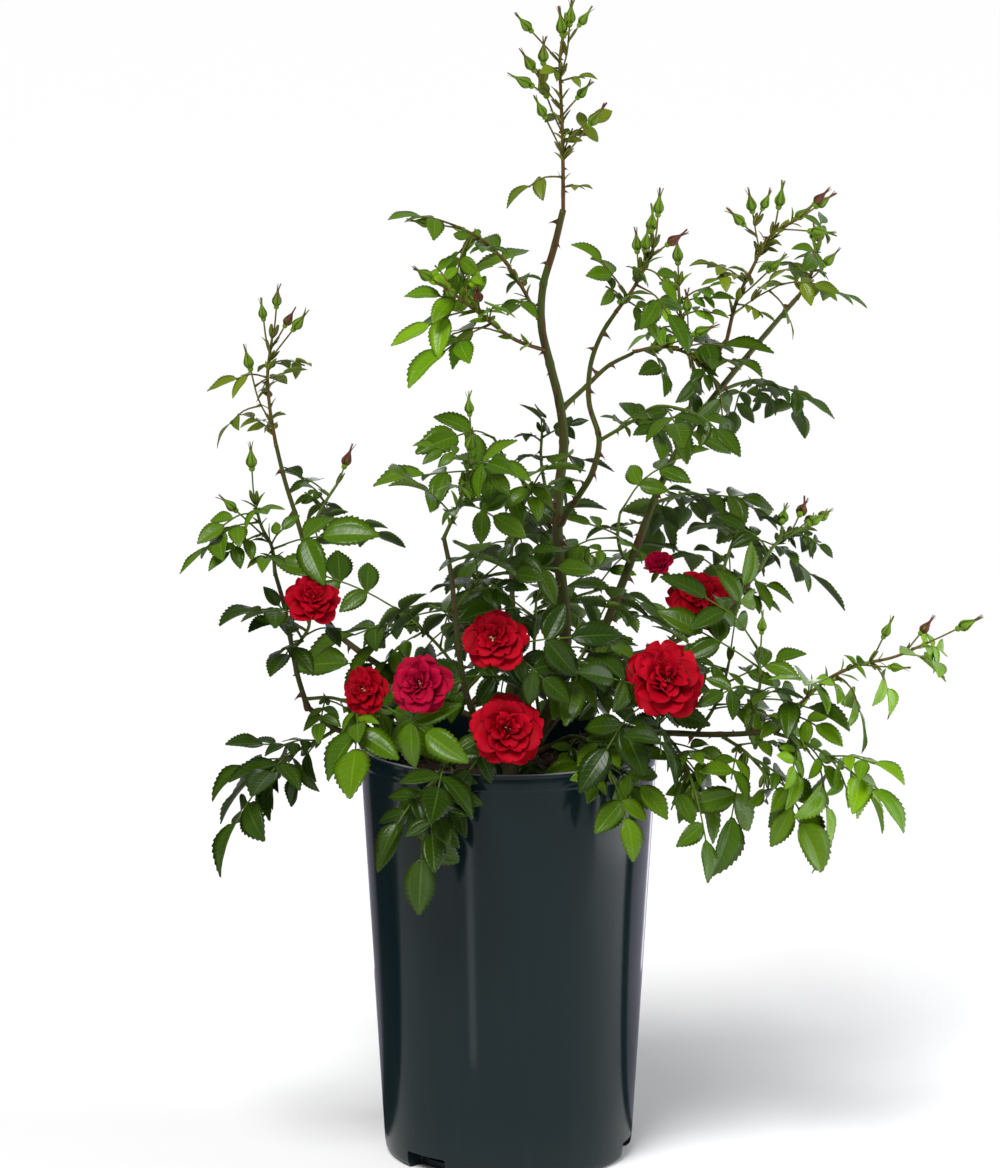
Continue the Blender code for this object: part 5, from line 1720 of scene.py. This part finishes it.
def petal(azimuth, foot, tip, length, half, whorl, rng):
    """Radius, height and turn about the axis of each point of a petal, for a bloom of radius one.

    The lean grows from foot to tip, and its sine and cosine add up to radius and height. The
    turn is the half width over the radius. Ruffle and cup lift the petal square to its line.
    """
    s = np.sin(np.linspace(0, np.pi / 2, PETAL_ROWS))[:, None]
    t = np.linspace(-1, 1, PETAL_COLUMNS)[None]
    lean = np.radians(foot + (tip - foot) * s ** 0.8)
    reach = length * (1 - NOTCH_DEPTH * np.exp(-(t / 0.2) ** 2) * s ** 4)
    step = np.diff(s, axis=0, prepend=0)
    spoke = 0.05 + reach * np.cumsum(np.sin(lean) * step, axis=0)
    rise = reach * np.cumsum(np.cos(lean) * step, axis=0)
    width = half * (0.25 + 0.75 * np.sin(1.9 * s)) * np.sqrt(1 - 0.94 * s ** 6)
    turn = azimuth + t * width / (spoke + 0.22)
    ruffle = sum(high * np.sin(wide * t + far * s + phase)
                 for (high, wide, far), phase in zip(RUFFLES, rng.uniform(0, math.tau, 2)))
    lift = ruffle * s ** 2 + CUP * t ** 2 * np.sin(np.pi * s)
    return spoke - lift * np.cos(lean), rise + lift * np.sin(lean) + 0.02 * whorl, turn


def petal_surfaces(piece, rng):
    """Surfaces of all petals of one bloom, for its radius and about the way that it faces."""
    _, root, facing, diameter = piece
    opening = 1.0 if diameter > 0.024 else HALF_OPEN
    sheets = []
    for whorl, (count, foot, tip, length, half) in enumerate(WHORLS):
        for k in range(count):
            azimuth = (k + 0.5 * (whorl % 2)) * math.tau / count + rng.uniform(-0.14, 0.14)
            more = rng.uniform(-7, 7)
            leans = (foot + more) * opening, (tip + more) * opening
            spoke, rise, turn = petal(azimuth, *leans, length * rng.uniform(0.88, 1.04), half, whorl, rng)
            out = spokes(*square_to(facing), turn) * spoke[..., None]
            sheets.append(root + (out + facing * rise[..., None]) * diameter / 2)
    return np.stack(sheets)


print("a bloom has", sum(whorl[0] for whorl in WHORLS), "petals")

# %% [markdown]
# In the middle stand the stamens, thin filaments that fan out by a random lean. Each bears a pale
# anther, which is the same small ball that made the crumbs.

# %% The stamens' lines
STAMENS = 16
FILAMENT_RADIUS = 0.00022
ANTHER_SIZE = np.array((0.0007, 0.0007, 0.0009))


def stamen_lines(piece, rng):
    """Straight filaments from the bloom's middle: its way plus a spoke by the sine of the lean."""
    _, root, facing, diameter = piece
    turn = rng.uniform(0, math.tau, STAMENS)
    lean = rng.uniform(0.05, 0.5, STAMENS)
    way = unit_all(facing + np.sin(lean)[:, None] * spokes(*square_to(facing), turn))
    height = diameter / 2 * rng.uniform(0.26, 0.38, STAMENS)[:, None, None]
    share = np.linspace(0.1, 1, 4)[None, :, None]
    return root + way[:, None] * height * share

# %% [markdown]
# Red petals are velvety: almost no gloss. Their colour holds painted shade, deeper at the foot inside
# the bloom, and painted light, brighter at the rim. Two of the blooms are crimson.

# %% Finish of the petals
PETAL_VEINS = 24


def petal_finish(name, foot, rim):
    """Velvet petal: painted shade deepens the foot and painted light brightens the rim, with fine veins
    fanning from the foot.
    """
    skin = Finish(name, rim, 0.5, 0.06)
    across, along = skin.blade_place()
    veins = (across * PETAL_VEINS).math("PINGPONG", 0.5) * 2
    # The share runs from the painted shade at the foot to the painted light at the rim, shifted by each
    # petal's tone and its veins.
    share = (along.between(0.15, 0.95) + skin.tone() * 0.35 - 0.15 - veins * 0.08).between(0, 1)
    skin.paint({"Base Color": skin.mix(share, foot, rim)})
    skin.relief(veins * 0.6 + skin.noise(700, 2) * 0.5, 0.0002)
    return skin


# Each foot colour is painted shade, the shadowed red deep in a bloom, and each rim colour is the lit red.
red_petal = petal_finish("red_petal", (0.180, 0.000, 0.002), (0.520, 0.001, 0.015))
pink_petal = petal_finish("crimson_petal", (0.220, 0.000, 0.012), (0.520, 0.003, 0.045))
anther = Finish("anther", (0.75, 0.58, 0.28), 0.6)
anther.paint({"Base Color": anther.mix(anther.noise(900), (0.90, 0.74, 0.45), (0.60, 0.38, 0.14))})

# %% [markdown]
# All petals of one colour are one piece, and all stamens another.

# %% Growing the blooms
PETAL_THICKNESS = 0.00035
rng = np.random.default_rng(47)
bloom_pieces = pieces_of("bloom")
crimson = (pieces_of("bloom", ["left_bloom_spray"])[0], min(bloom_pieces, key=lambda piece: piece[3]))
for label, finish, wanted in (("red", red_petal, False), ("crimson", pink_petal, True)):
    heap = Heap()
    for piece in bloom_pieces:
        if any(piece is other for other in crimson) == wanted:
            sheets = petal_surfaces(piece, rng)
            heap.add_blades(sheets, PETAL_THICKNESS, rng.uniform(0, 1, (len(sheets), 1)))
    seat(heap.made(f"petals_{label}", finish, finish), "foliage")

stamen_heap = Heap()
for piece in bloom_pieces:
    lines = stamen_lines(piece, rng)
    stamen_heap.add_tubes(skins(lines, np.broadcast_to(FILAMENT_RADIUS, lines.shape[:2]), 4))
    stamen_heap.add(ball[None] * ANTHER_SIZE + lines[:, -1][:, None], [(ball_faces, 0)])
seat(stamen_heap.made("stamens", anther), "foliage")

# %% [markdown]
# Seen from the side or from below, an open bloom sits on a small hip with its five sepals spread
# under it. The hip is the lower part of the profile that also makes the buds.

# %% Sepals and hips under the open blooms
def spread_sepals(piece, rng):
    """Five narrow blades under a bloom, which lean out by 70 degrees at the foot and 115 at the tip."""
    _, root, facing, diameter = piece
    first, second = square_to(facing)
    s = np.linspace(0, 1, SEPAL_ROWS)[:, None]
    t = np.linspace(-1, 1, SEPAL_COLUMNS)[None]
    step = np.diff(s, axis=0, prepend=0)
    sheets = []
    for k in range(SEPALS):
        azimuth = (k + 0.3) * math.tau / SEPALS + rng.uniform(-0.2, 0.2)
        lean = np.radians(70 + 45 * s + rng.uniform(-12, 12))
        reach = 0.35 * diameter / 2 + 0.006
        spoke = 0.001 + reach * np.cumsum(np.sin(lean) * step, axis=0)
        rise = reach * np.cumsum(np.cos(lean) * step, axis=0) - 0.0016
        aside = 0.0019 * np.sin(np.pi * np.clip(0.12 + 0.88 * s, 0, 0.985)) ** 0.7 * t
        out = first * math.cos(azimuth) + second * math.sin(azimuth)
        beside = second * math.cos(azimuth) - first * math.sin(azimuth)
        sheets.append(root + spoke[..., None] * out + aside[..., None] * beside + rise[..., None] * facing)
    return np.stack(sheets)


HIP_LENGTH = 0.012  # of the whole bud that the hip is the lower half of
calyx_heap = Heap()
for piece in bloom_pieces:
    calyx_heap.add_blades(spread_sepals(piece, rng), THIN, sepal_tones * 0.7, placed=False)
cups = [("bud", root - facing * 0.0052, facing, HIP_LENGTH) for _, root, facing, _ in bloom_pieces]
calyx_heap.add_tubes(bud_bodies(cups)[:, :6])
seat(calyx_heap.made("calyxes", sepal_skin, sepal_skin), "foliage")

# %% [markdown]
# ## Floor, light and camera
# A wide pale floor is all the backdrop, because the camera looks down on it. A very broad sun from
# the upper left stands for a big soft box and lights the floor as evenly as the plant.

# %% The floor
FLOOR_STEPS = 96
reach = np.concatenate([[0.01], np.geomspace(0.4, 40, 24)])
disc = revolved(np.stack([reach, np.zeros(len(reach))], 1), FLOOR_STEPS)
floor_heap = Heap()
middle = np.arange(FLOOR_STEPS)[None]
floor_heap.add(disc.reshape(1, -1, 3), [(grid_faces(len(reach), FLOOR_STEPS, wrap=True), 0), (middle, 0)])
floor = floor_heap.made("floor", Finish("pale_floor", (0.90, 0.90, 0.90), 0.7))

# %% [markdown]
# Dark glossy plastic shows little but what it mirrors. Tall lights stand round the pot, and their
# long reflections give it its form. The box at the right also lights the plant.

# %% Lights
def lamp(name, kind, at, towards, power, colour=(1, 1, 1), **shape):
    """A light at a place, turned towards a point, with its own size or spread."""
    light = bpy.data.lights.new(name, kind)
    light.energy = power
    light.color = colour
    for key, value in shape.items():
        setattr(light, key, value)
    made = bpy.data.objects.new(name, light)
    made.location = at
    aim = Vector(towards) - Vector(at)
    made.rotation_euler = aim.to_track_quat("-Z", "Y").to_euler()
    made.visible_camera = False
    made.visible_diffuse = "strip" not in name  # the strips are only mirrored
    bpy.context.scene.collection.objects.link(made)


COOL = (0.93, 0.95, 1.0)
lamp("sky_box", "SUN", (-0.9, -1.9, 3.4), (0, 0, 0.3), 3.1, angle=math.radians(28))
strips = {  # degrees from the front to the right, distance, width, height, power
    "left_edge_strip": (-160, 0.40, 0.05, 0.55, 0.15),
    "front_left_strip": (-26, 0.24, 0.020, 0.62, 0.075),
    "right_soft_box": (88, 0.62, 0.42, 0.60, 2.6),
    "right_edge_strip": (150, 0.40, 0.05, 0.55, 0.15),
}
for name, (turn, distance, width, height, power) in strips.items():
    heading, half = math.radians(turn), height / 2 + 0.005
    at = (distance * math.sin(heading), -distance * math.cos(heading), half)
    lamp(name, "AREA", at, (0, 0, half), power, COOL, shape="RECTANGLE", size=width, size_y=height)
print("lights:", ["sky_box", *strips])

# %% [markdown]
# A dark cloth lies behind the pot and hangs at the back. Only mirrored rays find it, so it is a painted
# reflection: it keeps the pot's edges dark against the pale floor, and its pale lavender part, from the
# right round to the back, paints a pale reflection in the pot.

# %% The dark cloth
CLOTH_LIFT, CLOTH_TOP = 0.001, 0.75
CLOTH_NEAR, CLOTH_FAR = 0.085, 0.56  # distance from the pot's axis
turn = np.linspace(104, 264, 81)     # degrees from the front, towards the right
# the pale lavender share of the cloth, which paints a pale reflection in the pot
pale = np.where((turn > 115) & (turn < 228), 1 - (turn - 115) / 190, 0)
outward = np.stack([np.sin(np.radians(turn)), -np.cos(np.radians(turn)), 0 * turn], 1)
edges = ((CLOTH_NEAR, CLOTH_LIFT), (CLOTH_FAR, CLOTH_LIFT), (CLOTH_FAR, CLOTH_TOP))
cloth = np.stack([outward * distance + (0, 0, height) for distance, height in edges])
cloth_heap = Heap()
cloth_heap.add(cloth.reshape(1, -1, 3), [(grid_faces(3, len(turn)), 0)], tones=np.tile(pale, 3))
felt = Finish("felt", (0.02, 0.02, 0.02), 0.9)
# Dark felt paints dark reflections in the pot, and the pale lavender paints a pale reflection.
felt.paint({"Base Color": felt.mix(felt.tone(), (0.020, 0.020, 0.024), (0.56, 0.52, 0.64))})
screen = cloth_heap.made("dark_cloth", felt)
screen.visible_camera = screen.visible_diffuse = screen.visible_shadow = False

# %% [markdown]
# The world fills the shadows with an even white. The camera stands three metres away with a long
# lens, which keeps the upright lines nearly parallel, and looks down a little.

# %% World and camera
world = bpy.data.worlds.new("studio")
bpy.context.scene.world = world
world.use_nodes = True
sky = world.node_tree.nodes["Background"].inputs
sky["Color"].default_value = (1, 1, 1, 1)
sky["Strength"].default_value = 0.34
bpy.context.scene.view_settings.view_transform = "Standard"

LOOK_DOWN = 10.904  # degrees below the level
camera = bpy.data.cameras.new("camera")
camera.lens = 158.2
eye = bpy.data.objects.new("camera", camera)
eye.location = (-0.005, -3.0, 0.926)
eye.rotation_euler = (math.radians(90 - LOOK_DOWN), 0, 0)
bpy.context.scene.collection.objects.link(eye)
bpy.context.scene.camera = eye
print("the camera stands at", tuple(eye.location))
